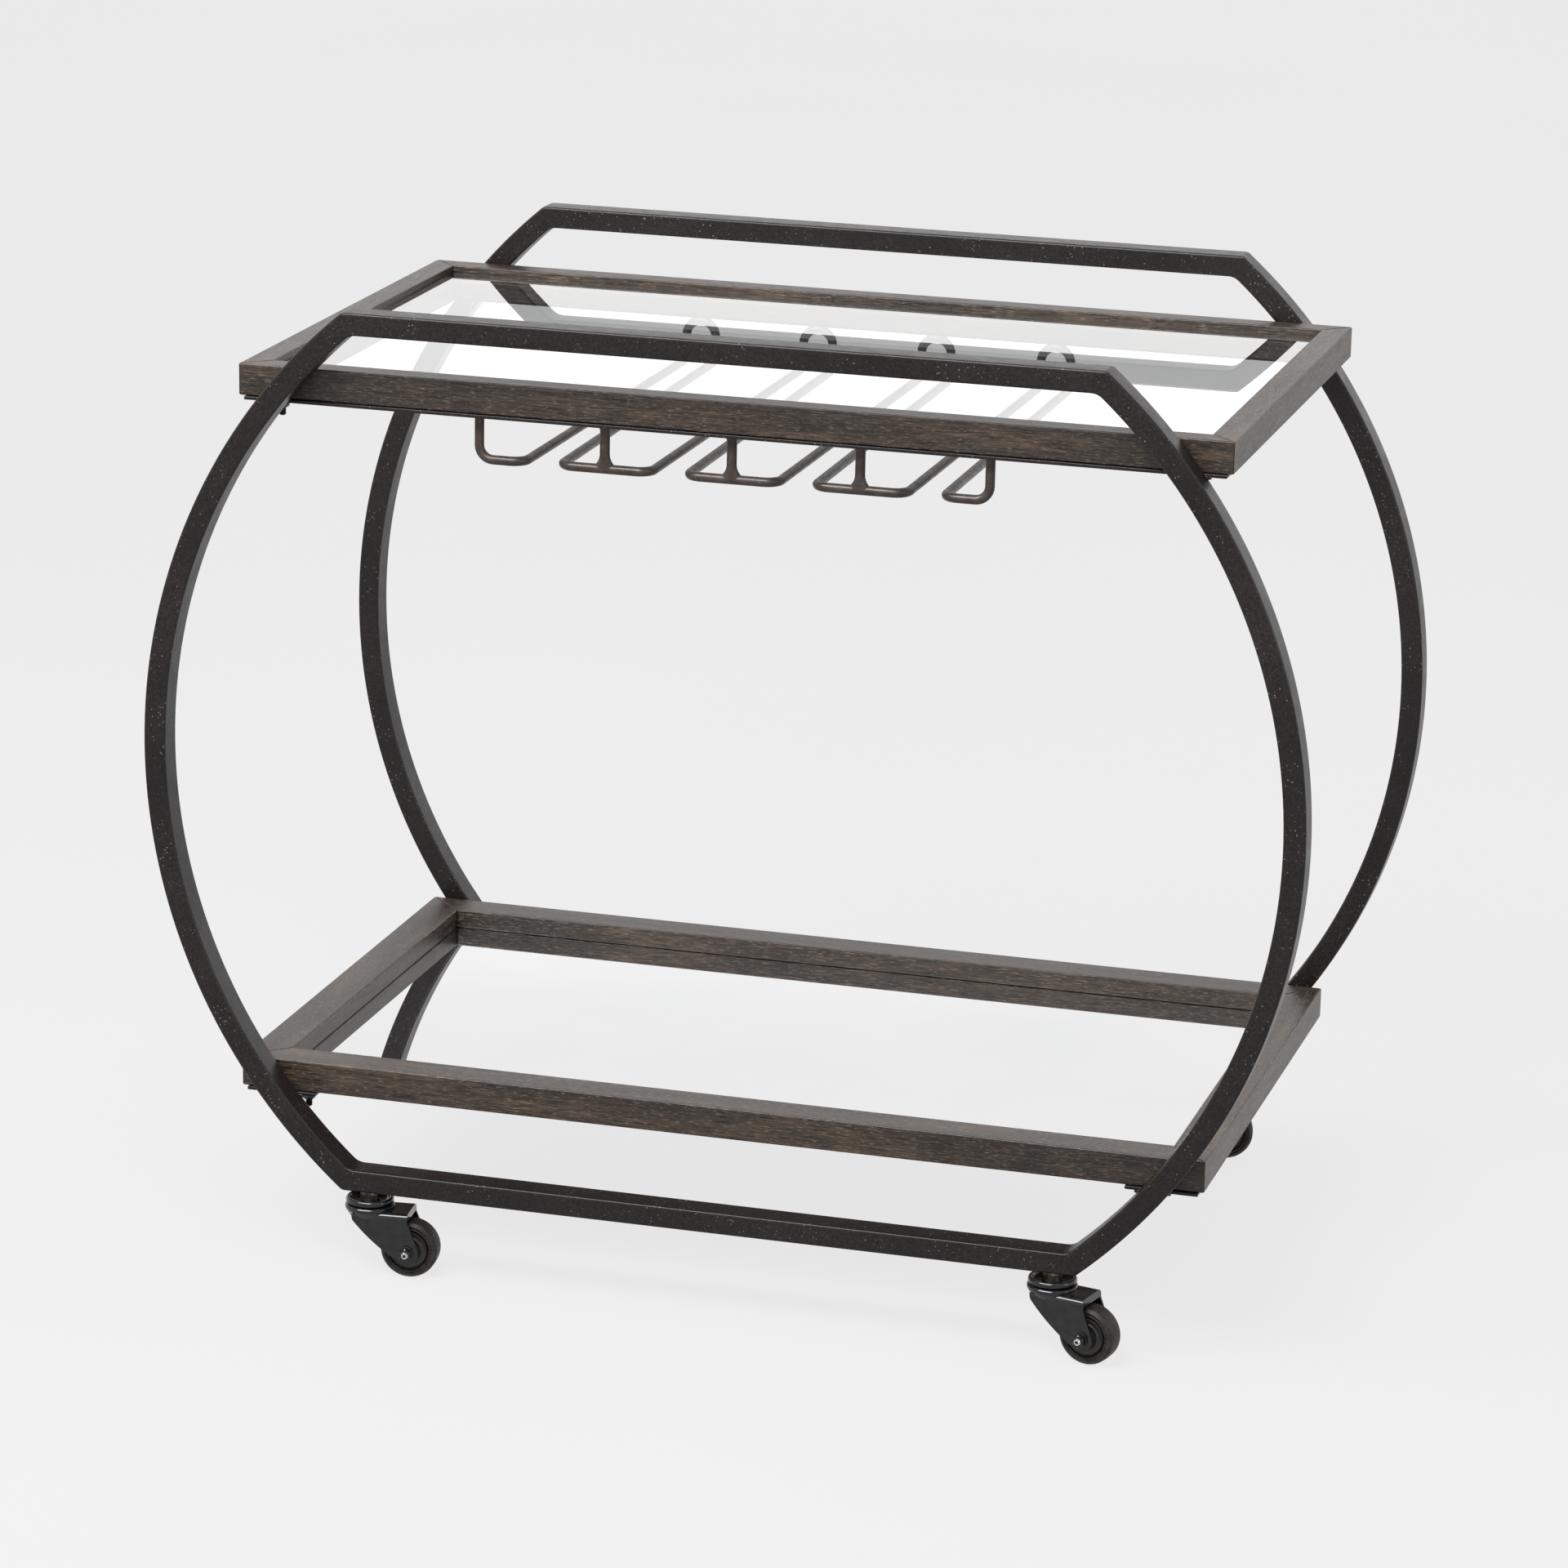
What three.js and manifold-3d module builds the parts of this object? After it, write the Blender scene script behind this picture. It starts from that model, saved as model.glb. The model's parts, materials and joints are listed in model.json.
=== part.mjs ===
// Bar cart on four swivel casters.
//
// Two welded side frames, each a circle cut flat at the top and the bottom, hold two timber
// trays between them: clear glass in the upper one and a mirror in the lower one. A wire
// stemware rack with four slots hangs under the upper tray.
//
// Millimetres, +Z up. X runs along the cart and -Y is its front. The origin is on the floor
// under the middle of the cart.

import * as THREE from "three";
import { mergeVertices } from "three/addons/utils/BufferGeometryUtils.js";
import Module from "manifold-3d";

// ---------------------------------------------------------------- driving dimensions

const JOINT_GAP = 0.3; // kept between pieces that touch

// side frames
const CIRCLE_RADIUS = 500; // outside of the tube
const CIRCLE_CENTRE_Z = 457;
const FLAT_RISE = 382; // circle centre to the outside of each flat rail
const FRAME_OUTER_Y = 278;
const TUBE_DEPTH = 26; // across the frame, along Y
const TUBE_FACE = 19; // in the plane of the frame
const TUBE_WALL = 1.2;

// trays
const TRAY_LENGTH = 846;
const TRAY_WIDTH = 500;
const TRAY_THICKNESS = 27;
const TRAY_RAIL_WIDTH = 34;
const TOP_TRAY_Z = 784; // upper surface of the rails
const LOWER_TRAY_Z = 177.5;
const REBATE_WIDTH = 11;
const GLASS_RECESS = 6;
const GLASS_THICKNESS = 5;
const MIRROR_RECESS = 17;
const MIRROR_THICKNESS = 4;
const BACKING_THICKNESS = 3;
const PANE_CLEARANCE = 1; // between a pane's edge and its rebate

// steel straps under the trays, and the studs that hold the trays to them
const STRAP_THICKNESS = 3;
const STRAP_WIDTH = 30;
const STRAP_END_X = 418;
const LOWER_STRAP_INNER_X = 356;
const TOP_STUD_X = 389;
const LOWER_STUD_X = 367;
const STUD_Y = 237;
const STUD_RADIUS = 3;
const STUD_DEPTH = 15; // into the wood
const STUD_TIP = 7; // below the nut
const NUT_ACROSS_FLATS = 10;
const NUT_HEIGHT = 5;

// stemware rack
const ROD_RADIUS = 4;
const SLOT_COUNT = 4;
const SLOT_PITCH = 109;
const SLOT_FRONT_WIDTH = 31.5; // between rod centres, so the slots narrow a little to the back
const SLOT_REAR_WIDTH = 27;
const RACK_CENTRE_X = 2.5;
const ROD_DROP = 40.5; // tray underside to rod centre
const RACK_FRONT_Y = -237;
const ROD_BEND = 12;
const CROWN_RUN = 1.6; // straight run at the crown of each arch, so its two halves end square
const ROD_SIDES = 8;
const WELD_BEAD = 1.3; // how far the welds at a hanger's two ends stand out from it

// casters
const CASTER_X = 301;
const WHEEL_RADIUS = 25;
const WHEEL_HALF_WIDTH = 10.5;
const HUB_RADIUS = 17;
const CASTER_TRAIL = 36; // swivel axis to wheel axis
const HEAD_RADIUS = 21.5;
const FORK_HALF_WIDTH = 18;
const FORK_METAL = 2;
const FORK_TOP_Z = 59.5;
const FORK_TAIL_X = 36.5;
const FORK_HEEL_X = -11;
const FORK_BEND = 5; // outer radius between the top and the side plates
const FORK_LIP = 6; // how far the tail's end is turned down
const FORK_END_RADIUS = 10.5;
const STEM_RADIUS = 5;
const AXLE_RADIUS = 3;
const RUNNING_GAP = 0.3; // all round the axle and the kingpin

// ---------------------------------------------------------------- derived places

const CIRCLE_INNER = CIRCLE_RADIUS - TUBE_FACE;
const FRAME_MID_Y = FRAME_OUTER_Y - TUBE_DEPTH / 2;
const FRAME_INNER_Y = FRAME_OUTER_Y - TUBE_DEPTH;
const FRAME_BOTTOM_Z = CIRCLE_CENTRE_Z - FLAT_RISE;
const TOP_TRAY_UNDERSIDE = TOP_TRAY_Z - TRAY_THICKNESS;
const LOWER_TRAY_UNDERSIDE = LOWER_TRAY_Z - TRAY_THICKNESS;
const STRAP_Y = FRAME_INNER_Y - JOINT_GAP - STRAP_WIDTH / 2;
const PANE_LENGTH = TRAY_LENGTH - 2 * (TRAY_RAIL_WIDTH - REBATE_WIDTH + PANE_CLEARANCE);
const PANE_WIDTH = TRAY_WIDTH - 2 * (TRAY_RAIL_WIDTH - REBATE_WIDTH + PANE_CLEARANCE);
const ROD_Z = TOP_TRAY_UNDERSIDE - ROD_DROP;
const STRAP_UNDERSIDE = TOP_TRAY_UNDERSIDE - JOINT_GAP - STRAP_THICKNESS;
const RACK_REAR_Y = STRAP_Y - STRAP_WIDTH / 2 - JOINT_GAP - ROD_RADIUS;
const HANGER_TOP_Z = STRAP_UNDERSIDE - JOINT_GAP;
const ARCH_TOP_Z = TOP_TRAY_UNDERSIDE - JOINT_GAP - ROD_RADIUS;
const HEAD_RING_TOP_Z = 63;
const CAP_FLOOR_Z = 65;
const CAP_RIM_Z = 69;
const FORK_INNER_Y = FORK_HALF_WIDTH - FORK_METAL;

// ---------------------------------------------------------------- materials

function finish(color, roughness, metalness) {
  return () => new THREE.MeshStandardMaterial({ color, roughness, metalness });
}

const blackSteel = finish(0x2b2a29, 0.55, 0.6);
const darkWood = finish(0x4a4038, 0.6, 0);
const clearGlass = finish(0xdfe8e6, 0.05, 0);
const mirrorGlass = finish(0xe6e6e6, 0.03, 1);
const hardboard = finish(0x3a322b, 0.85, 0);
const bronzedRod = finish(0x4a443f, 0.35, 0.8);
const casterBlack = finish(0x151515, 0.25, 0.7);
const zincPlate = finish(0xb8b8b4, 0.3, 1);
const darkRubber = finish(0x2c2622, 0.7, 0);
const hubPlastic = finish(0x1d1b1a, 0.6, 0);

// ---------------------------------------------------------------- shape helpers

const wasm = await Module();
wasm.setup();

function toSolid(geometry) {
  const bare = geometry.clone();
  bare.deleteAttribute("normal");
  bare.deleteAttribute("uv");
  const merged = mergeVertices(bare, 1e-4);
  return new wasm.Manifold(
    new wasm.Mesh({
      numProp: 3,
      vertProperties: new Float32Array(merged.attributes.position.array),
      triVerts: new Uint32Array(merged.index.array),
    }),
  );
}

function toGeometry(solid) {
  const { vertProperties, triVerts } = solid.getMesh();
  const geometry = new THREE.BufferGeometry();
  geometry.setAttribute("position", new THREE.BufferAttribute(vertProperties, 3));
  geometry.setIndex(new THREE.BufferAttribute(triVerts, 1));
  geometry.computeVertexNormals();
  return geometry;
}

function join(...geometries) {
  return toGeometry(geometries.map(toSolid).reduce((whole, next) => whole.add(next)));
}

function cut(geometry, ...tools) {
  return toGeometry(tools.map(toSolid).reduce((whole, tool) => whole.subtract(tool), toSolid(geometry)));
}

function piece(name, geometry, material) {
  const mesh = new THREE.Mesh(geometry, material());
  mesh.name = name;
  return mesh;
}

function box(sizeX, sizeY, sizeZ, x, y, z) {
  return new THREE.BoxGeometry(sizeX, sizeY, sizeZ).translate(x, y, z);
}

// A cylinder or prism standing along Z from bottomZ to topZ.
function uprightPrism(radius, sides, bottomZ, topZ, x = 0, y = 0) {
  return new THREE.CylinderGeometry(radius, radius, topZ - bottomZ, sides)
    .rotateX(Math.PI / 2)
    .translate(x, y, (topZ + bottomZ) / 2);
}

// The same along Y, centred on the Y axis.
function crossPrism(radius, sides, nearY, farY) {
  return new THREE.CylinderGeometry(radius, radius, farY - nearY, sides).translate(0, (nearY + farY) / 2, 0);
}

function hexRadius(acrossFlats) {
  return acrossFlats / Math.sqrt(3);
}

// A shape drawn in X and Z, thickened evenly to both sides of the plane y = 0.
function slabAcrossY(shape, depth, curveSegments = 12) {
  return new THREE.ExtrudeGeometry(shape, { depth, curveSegments, bevelEnabled: false })
    .rotateX(Math.PI / 2)
    .translate(0, depth / 2, 0);
}

// A shape drawn in X and Y, thickened upward from bottomZ.
function slabAlongZ(shape, bottomZ, thickness, curveSegments = 12) {
  return new THREE.ExtrudeGeometry(shape, { depth: thickness, curveSegments, bevelEnabled: false })
    .translate(0, 0, bottomZ);
}

function outline(points) {
  return new THREE.Shape(points.map(([x, y]) => new THREE.Vector2(x, y)));
}

function turnedAlongY(profile, segments) {
  return new THREE.LatheGeometry(profile.map(([r, y]) => new THREE.Vector2(r, y)), segments);
}

function turnedAlongZ(profile, segments) {
  return turnedAlongY(profile, segments).rotateX(Math.PI / 2);
}

// ---------------------------------------------------------------- side frames

// One bow's outline on the +X side, about the circle's centre. The ends lie on the mitre lines,
// or past them by overrun radians.
function bowOutline(inset, overrun) {
  const outer = CIRCLE_RADIUS - inset;
  const inner = CIRCLE_INNER + inset;
  const gapAngle = JOINT_GAP / CIRCLE_RADIUS;
  const outerAngle = Math.asin(FLAT_RISE / CIRCLE_RADIUS) - gapAngle + overrun;
  const innerAngle = Math.asin((FLAT_RISE - TUBE_FACE) / CIRCLE_INNER) - gapAngle + overrun;
  const shape = new THREE.Shape();
  shape.absarc(0, 0, outer, -outerAngle, outerAngle, false);
  shape.absarc(0, 0, inner, innerAngle, -innerAngle, true);
  return shape;
}

// The top flat rail's outline about the circle's centre: a trapezium between the two mitres.
function flatOutline(inset, overrun) {
  const top = FLAT_RISE - inset;
  const bottom = FLAT_RISE - TUBE_FACE + inset;
  const outerX = Math.sqrt(CIRCLE_RADIUS ** 2 - FLAT_RISE ** 2) + overrun;
  const innerX = Math.sqrt(CIRCLE_INNER ** 2 - (FLAT_RISE - TUBE_FACE) ** 2) + overrun;
  return outline([[-innerX, bottom], [innerX, bottom], [outerX, top], [-outerX, top]]);
}

// A rectangular tube, open at both mitred ends.
function tube(outlineOf, overrun, curveSegments) {
  const outside = slabAcrossY(outlineOf(0, 0), TUBE_DEPTH, curveSegments);
  const hollow = slabAcrossY(outlineOf(TUBE_WALL, overrun), TUBE_DEPTH - 2 * TUBE_WALL, curveSegments);
  return cut(outside, hollow);
}

function sideFrame(side, y) {
  const frame = new THREE.Group();
  frame.position.set(0, y, CIRCLE_CENTRE_Z);
  const bow = tube(bowOutline, 0.05, 16);
  const flat = tube(flatOutline, 20, 1);
  const stemHoles = [-CASTER_X, CASTER_X].map((x) =>
    uprightPrism(STEM_RADIUS + JOINT_GAP, 16, -FLAT_RISE - 1, -FLAT_RISE + TUBE_WALL + 1, x));
  frame.add(
    piece(`${side}_frame_right_bow`, bow, blackSteel),
    piece(`${side}_frame_left_bow`, bow.clone().rotateZ(Math.PI), blackSteel),
    piece(`${side}_frame_top_rail`, flat, blackSteel),
    piece(`${side}_frame_bottom_rail`, cut(flat.clone().rotateY(Math.PI), ...stemHoles), blackSteel),
  );
  return frame;
}

// ---------------------------------------------------------------- trays

// Rail section as [distance in from the outer face, height above the underside].
const TOP_RAIL_SECTION = [
  [0, 0],
  [TRAY_RAIL_WIDTH, 0],
  [TRAY_RAIL_WIDTH, TRAY_THICKNESS - GLASS_RECESS - GLASS_THICKNESS - JOINT_GAP],
  [TRAY_RAIL_WIDTH - REBATE_WIDTH, TRAY_THICKNESS - GLASS_RECESS - GLASS_THICKNESS - JOINT_GAP],
  [TRAY_RAIL_WIDTH - REBATE_WIDTH, TRAY_THICKNESS],
  [0, TRAY_THICKNESS],
];
const LOWER_RAIL_SECTION = [
  [0, 0],
  [TRAY_RAIL_WIDTH - REBATE_WIDTH, 0],
  [TRAY_RAIL_WIDTH - REBATE_WIDTH, TRAY_THICKNESS - MIRROR_RECESS],
  [TRAY_RAIL_WIDTH, TRAY_THICKNESS - MIRROR_RECESS],
  [TRAY_RAIL_WIDTH, TRAY_THICKNESS],
  [0, TRAY_THICKNESS],
];

// A rail along X whose outer face is y = -reach; each end is mitred by pulling it in as far as
// the point lies from the outer face.
function mitredRail(section, length, reach) {
  const geometry = new THREE.ExtrudeGeometry(outline(section), { depth: length, bevelEnabled: false });
  geometry.rotateY(Math.PI / 2).rotateX(Math.PI / 2).rotateX(Math.PI);
  const position = geometry.attributes.position;
  for (let i = 0; i < position.count; i += 1) {
    const end = position.getX(i) > length / 2 ? 1 : -1;
    const inward = Math.abs(position.getY(i));
    const height = Math.abs(position.getZ(i));
    position.setXYZ(i, end * (length / 2 - JOINT_GAP / 2 - inward), inward - reach, height);
  }
  return geometry;
}

function tray(name, section, undersideZ, studX) {
  const group = new THREE.Group();
  group.position.z = undersideZ;
  const studHoles = [-studX, studX].map((x) =>
    uprightPrism(STUD_RADIUS + JOINT_GAP, 12, -1, STUD_DEPTH + 1, x, -STUD_Y));
  const longRail = cut(mitredRail(section, TRAY_LENGTH, TRAY_WIDTH / 2), ...studHoles);
  const endRail = mitredRail(section, TRAY_WIDTH, TRAY_LENGTH / 2);
  group.add(
    piece(`${name}_front_rail`, longRail, darkWood),
    piece(`${name}_rear_rail`, longRail.clone().rotateZ(Math.PI), darkWood),
    piece(`${name}_right_rail`, endRail.clone().rotateZ(Math.PI / 2), darkWood),
    piece(`${name}_left_rail`, endRail.clone().rotateZ(-Math.PI / 2), darkWood),
  );
  return group;
}

function pane(name, topZ, thickness, material) {
  return piece(name, box(PANE_LENGTH, PANE_WIDTH, thickness, 0, 0, topZ - thickness / 2), material);
}

function panes() {
  const mirrorTop = LOWER_TRAY_Z - MIRROR_RECESS - JOINT_GAP;
  return [
    pane("top_glass", TOP_TRAY_Z - GLASS_RECESS, GLASS_THICKNESS, clearGlass),
    pane("lower_mirror", mirrorTop, MIRROR_THICKNESS, mirrorGlass),
    pane("mirror_backing", mirrorTop - MIRROR_THICKNESS - JOINT_GAP, BACKING_THICKNESS, hardboard),
  ];
}

// ---------------------------------------------------------------- straps and studs

function strap(name, fromX, toX, y, trayUnderside, studXs) {
  const near = y - STRAP_WIDTH / 2;
  const far = y + STRAP_WIDTH / 2;
  const shape = outline([[fromX, near], [toX, near], [toX, far], [fromX, far]]);
  for (const x of studXs) {
    const hole = new THREE.Path();
    hole.absarc(x, Math.sign(y) * STUD_Y, STUD_RADIUS + JOINT_GAP, 0, 2 * Math.PI);
    shape.holes.push(hole);
  }
  const bottomZ = trayUnderside - JOINT_GAP - STRAP_THICKNESS;
  return piece(name, slabAlongZ(shape, bottomZ, STRAP_THICKNESS, 6), blackSteel);
}

function straps() {
  const list = [];
  for (const [depthName, depthSign] of [["front", -1], ["rear", 1]]) {
    const y = depthSign * STRAP_Y;
    list.push(strap(`${depthName}_support_strap`, -STRAP_END_X, STRAP_END_X, y,
      TOP_TRAY_UNDERSIDE, [-TOP_STUD_X, TOP_STUD_X]));
    list.push(strap(`lower_bracket_${depthName}_left`, -STRAP_END_X, -LOWER_STRAP_INNER_X, y,
      LOWER_TRAY_UNDERSIDE, [-LOWER_STUD_X]));
    list.push(strap(`lower_bracket_${depthName}_right`, LOWER_STRAP_INNER_X, STRAP_END_X, y,
      LOWER_TRAY_UNDERSIDE, [LOWER_STUD_X]));
  }
  return list;
}

// A stud up into the tray rail with a washer and a nut drawn up under the strap at z = 0.
function studShape() {
  const washerRadius = 6.2;
  const washerBottom = -1.2 - JOINT_GAP;
  const nutBottom = washerBottom - NUT_HEIGHT;
  const tipZ = nutBottom - STUD_TIP;
  const shank = turnedAlongZ([
    [0, tipZ],
    [STUD_RADIUS - 0.8, tipZ],
    [STUD_RADIUS, tipZ + 0.8],
    [STUD_RADIUS, washerBottom],
    [washerRadius, washerBottom],
    [washerRadius, -JOINT_GAP],
    [STUD_RADIUS, -JOINT_GAP],
    [STUD_RADIUS, STRAP_THICKNESS + STUD_DEPTH],
    [0, STRAP_THICKNESS + STUD_DEPTH],
  ], 12);
  const nut = uprightPrism(hexRadius(NUT_ACROSS_FLATS), 6, nutBottom, washerBottom + 0.1);
  return join(shank, nut);
}

function studs() {
  const shape = studShape();
  const list = [];
  for (const [trayName, underside, studX] of [
    ["top", TOP_TRAY_UNDERSIDE, TOP_STUD_X],
    ["lower", LOWER_TRAY_UNDERSIDE, LOWER_STUD_X],
  ]) {
    for (const [depthName, depthSign] of [["front", -1], ["rear", 1]]) {
      for (const [sideName, sideSign] of [["left", -1], ["right", 1]]) {
        const stud = piece(`${trayName}_stud_${depthName}_${sideName}`, shape, zincPlate);
        const strapBottom = underside - JOINT_GAP - STRAP_THICKNESS;
        stud.position.set(sideSign * studX, depthSign * STUD_Y, strapBottom);
        list.push(stud);
      }
    }
  }
  return list;
}

// ---------------------------------------------------------------- stemware rack

// A path through corner points [x, y, z, bend radius]. It holds one station for each ring of
// the swept rod, so straight runs have none between their ends.
class RodPath extends THREE.Curve {
  constructor(corners) {
    super();
    const points = corners.map(([x, y, z]) => new THREE.Vector3(x, y, z));
    this.stations = [points[0]];
    for (let i = 1; i < points.length - 1; i += 1) {
      this.addBend(points[i - 1], points[i], points[i + 1], corners[i][3]);
    }
    this.stations.push(points.at(-1));
    this.stations = this.stations.filter((p, i, all) => i === 0 || p.distanceTo(all[i - 1]) > 0.01);
  }

  // A quarter circle about the corner's inside.
  addBend(before, corner, after, radius) {
    const steps = 4;
    const inward = before.clone().sub(corner).setLength(radius);
    const onward = after.clone().sub(corner).setLength(radius);
    for (let step = 0; step <= steps; step += 1) {
      const angle = (step / steps) * (Math.PI / 2);
      this.stations.push(corner.clone()
        .addScaledVector(inward, 1 - Math.sin(angle))
        .addScaledVector(onward, 1 - Math.cos(angle)));
    }
  }

  getPoint(t, target = new THREE.Vector3()) {
    const place = t * (this.stations.length - 1);
    const index = Math.min(Math.floor(place), this.stations.length - 2);
    return target.lerpVectors(this.stations[index], this.stations[index + 1], place - index);
  }

  getUtoTmapping(u) {
    return u;
  }
}

function rod(corners) {
  const section = new THREE.Shape();
  section.absarc(0, 0, ROD_RADIUS, 0, 2 * Math.PI);
  const path = new RodPath(corners);
  return new THREE.ExtrudeGeometry(section, {
    steps: path.stations.length - 1,
    curveSegments: ROD_SIDES / 2,
    extrudePath: path,
  });
}

// Corners of one arm, from its end of the crossbar back along the slot centred on slotX, then up
// into half an arch that stops at the slot's middle. side is which edge of the slot it runs on.
function armCorners(slotX, side) {
  const frontX = slotX + side * SLOT_FRONT_WIDTH / 2;
  const rearX = slotX + side * SLOT_REAR_WIDTH / 2;
  const crownX = slotX + side * JOINT_GAP / 2;
  const archRadius = SLOT_REAR_WIDTH / 2 - CROWN_RUN;
  return [
    [frontX, RACK_FRONT_Y, ROD_Z, ROD_BEND],
    [rearX, RACK_REAR_Y, ROD_Z, ROD_BEND],
    [rearX, RACK_REAR_Y, ARCH_TOP_Z, archRadius],
    [crownX, RACK_REAR_Y, ARCH_TOP_Z, 0],
  ];
}

// A loop that carries the feet of two neighbouring glasses: crossbar, two arms and a hanger
// that is welded to the crossbar at its foot and to the strap at its top.
function rackLoop(name, centreX) {
  const leftArm = armCorners(centreX - SLOT_PITCH / 2, 1);
  const rightArm = armCorners(centreX + SLOT_PITCH / 2, -1);
  const loop = rod([...leftArm.reverse(), ...rightArm]);
  const hanger = turnedAlongZ([
    [0, ROD_Z],
    [ROD_RADIUS + WELD_BEAD, ROD_Z + 2],
    [ROD_RADIUS, ROD_Z + 7],
    [ROD_RADIUS, HANGER_TOP_Z - 4],
    [ROD_RADIUS + WELD_BEAD, HANGER_TOP_Z],
    [0, HANGER_TOP_Z],
  ], 10).translate(centreX, RACK_FRONT_Y, 0);
  return piece(name, join(loop, hanger), bronzedRod);
}

// The rod at either end of the rack comes down from the strap itself.
function rackEnd(name, side) {
  const hangerX = RACK_CENTRE_X + side * (SLOT_COUNT / 2) * SLOT_PITCH;
  const corners = [
    [hangerX, RACK_FRONT_Y, HANGER_TOP_Z, 0],
    [hangerX, RACK_FRONT_Y, ROD_Z, ROD_BEND],
    ...armCorners(hangerX - side * SLOT_PITCH / 2, side),
  ];
  return piece(name, rod(corners), bronzedRod);
}

function rack() {
  const list = [rackEnd("rack_left_end", -1), rackEnd("rack_right_end", 1)];
  for (let loop = 1; loop < SLOT_COUNT; loop += 1) {
    list.push(rackLoop(`rack_loop_${loop}`, RACK_CENTRE_X + (loop - SLOT_COUNT / 2) * SLOT_PITCH));
  }
  return list;
}

// ---------------------------------------------------------------- casters

// Each caster is drawn with its swivel axis on Z, its floor at z = 0 and its wheel towards +X.

// Threaded stem, hex, dished bearing cap and the kingpin riveted under the fork.
function casterStem() {
  const capRadius = HEAD_RADIUS - 1;
  const rivetBottom = FORK_TOP_Z - FORK_METAL - 4;
  const turned = turnedAlongZ([
    [0, rivetBottom],
    [STEM_RADIUS + 1.5, rivetBottom],
    [STEM_RADIUS + 2.5, rivetBottom + 1],
    [STEM_RADIUS + 2.5, FORK_TOP_Z - FORK_METAL - RUNNING_GAP],
    [STEM_RADIUS, FORK_TOP_Z - FORK_METAL - RUNNING_GAP],
    [STEM_RADIUS, HEAD_RING_TOP_Z + RUNNING_GAP],
    [capRadius, HEAD_RING_TOP_Z + RUNNING_GAP],
    [capRadius, CAP_RIM_Z - 1],
    [capRadius - 1, CAP_RIM_Z],
    [capRadius - 2.5, CAP_RIM_Z],
    [capRadius - 5, CAP_FLOOR_Z],
    [STEM_RADIUS, CAP_FLOOR_Z],
    [STEM_RADIUS, FRAME_BOTTOM_Z + 14],
    [0, FRAME_BOTTOM_Z + 14],
  ], 16);
  const hex = uprightPrism(hexRadius(15), 6, CAP_FLOOR_Z - 0.5, FRAME_BOTTOM_Z - JOINT_GAP);
  return join(turned, hex);
}

// The fork seen from the side: a flat top, and straight edges down to a round end at the axle.
function forkSideOutline() {
  const axle = new THREE.Vector2(CASTER_TRAIL, WHEEL_RADIUS);
  const heel = new THREE.Vector2(FORK_HEEL_X, FORK_TOP_Z - 5);
  const tail = new THREE.Vector2(FORK_TAIL_X, FORK_TOP_Z);
  const toHeel = heel.clone().sub(axle);
  const toTail = tail.clone().sub(axle);
  const heelTangent = toHeel.angle() + Math.acos(FORK_END_RADIUS / toHeel.length());
  const tailTangent = toTail.angle() - Math.acos(FORK_END_RADIUS / toTail.length());
  const shape = new THREE.Shape();
  shape.moveTo(heel.x, tail.y);
  shape.lineTo(heel.x, heel.y);
  shape.absarc(axle.x, axle.y, FORK_END_RADIUS, heelTangent, tailTangent + 2 * Math.PI, false);
  shape.lineTo(tail.x, tail.y);
  return shape;
}

// The fork seen from its end: an inverted U of sheet steel with rounded shoulders, centred on
// the caster's middle plane and drawn with Z to the right.
function forkEndOutline() {
  const lowZ = WHEEL_RADIUS - FORK_END_RADIUS - 1;
  const bendZ = FORK_TOP_Z - FORK_BEND;
  const bendY = FORK_HALF_WIDTH - FORK_BEND;
  const innerBend = FORK_BEND - FORK_METAL;
  const shape = new THREE.Shape();
  shape.moveTo(lowZ, -FORK_HALF_WIDTH);
  shape.absarc(bendZ, -bendY, FORK_BEND, -Math.PI / 2, 0, false);
  shape.absarc(bendZ, bendY, FORK_BEND, 0, Math.PI / 2, false);
  shape.lineTo(lowZ, FORK_HALF_WIDTH);
  shape.lineTo(lowZ, FORK_INNER_Y);
  shape.absarc(bendZ, bendY, innerBend, Math.PI / 2, 0, true);
  shape.absarc(bendZ, -bendY, innerBend, 0, -Math.PI / 2, true);
  shape.lineTo(lowZ, -FORK_INNER_Y);
  return shape;
}

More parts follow.
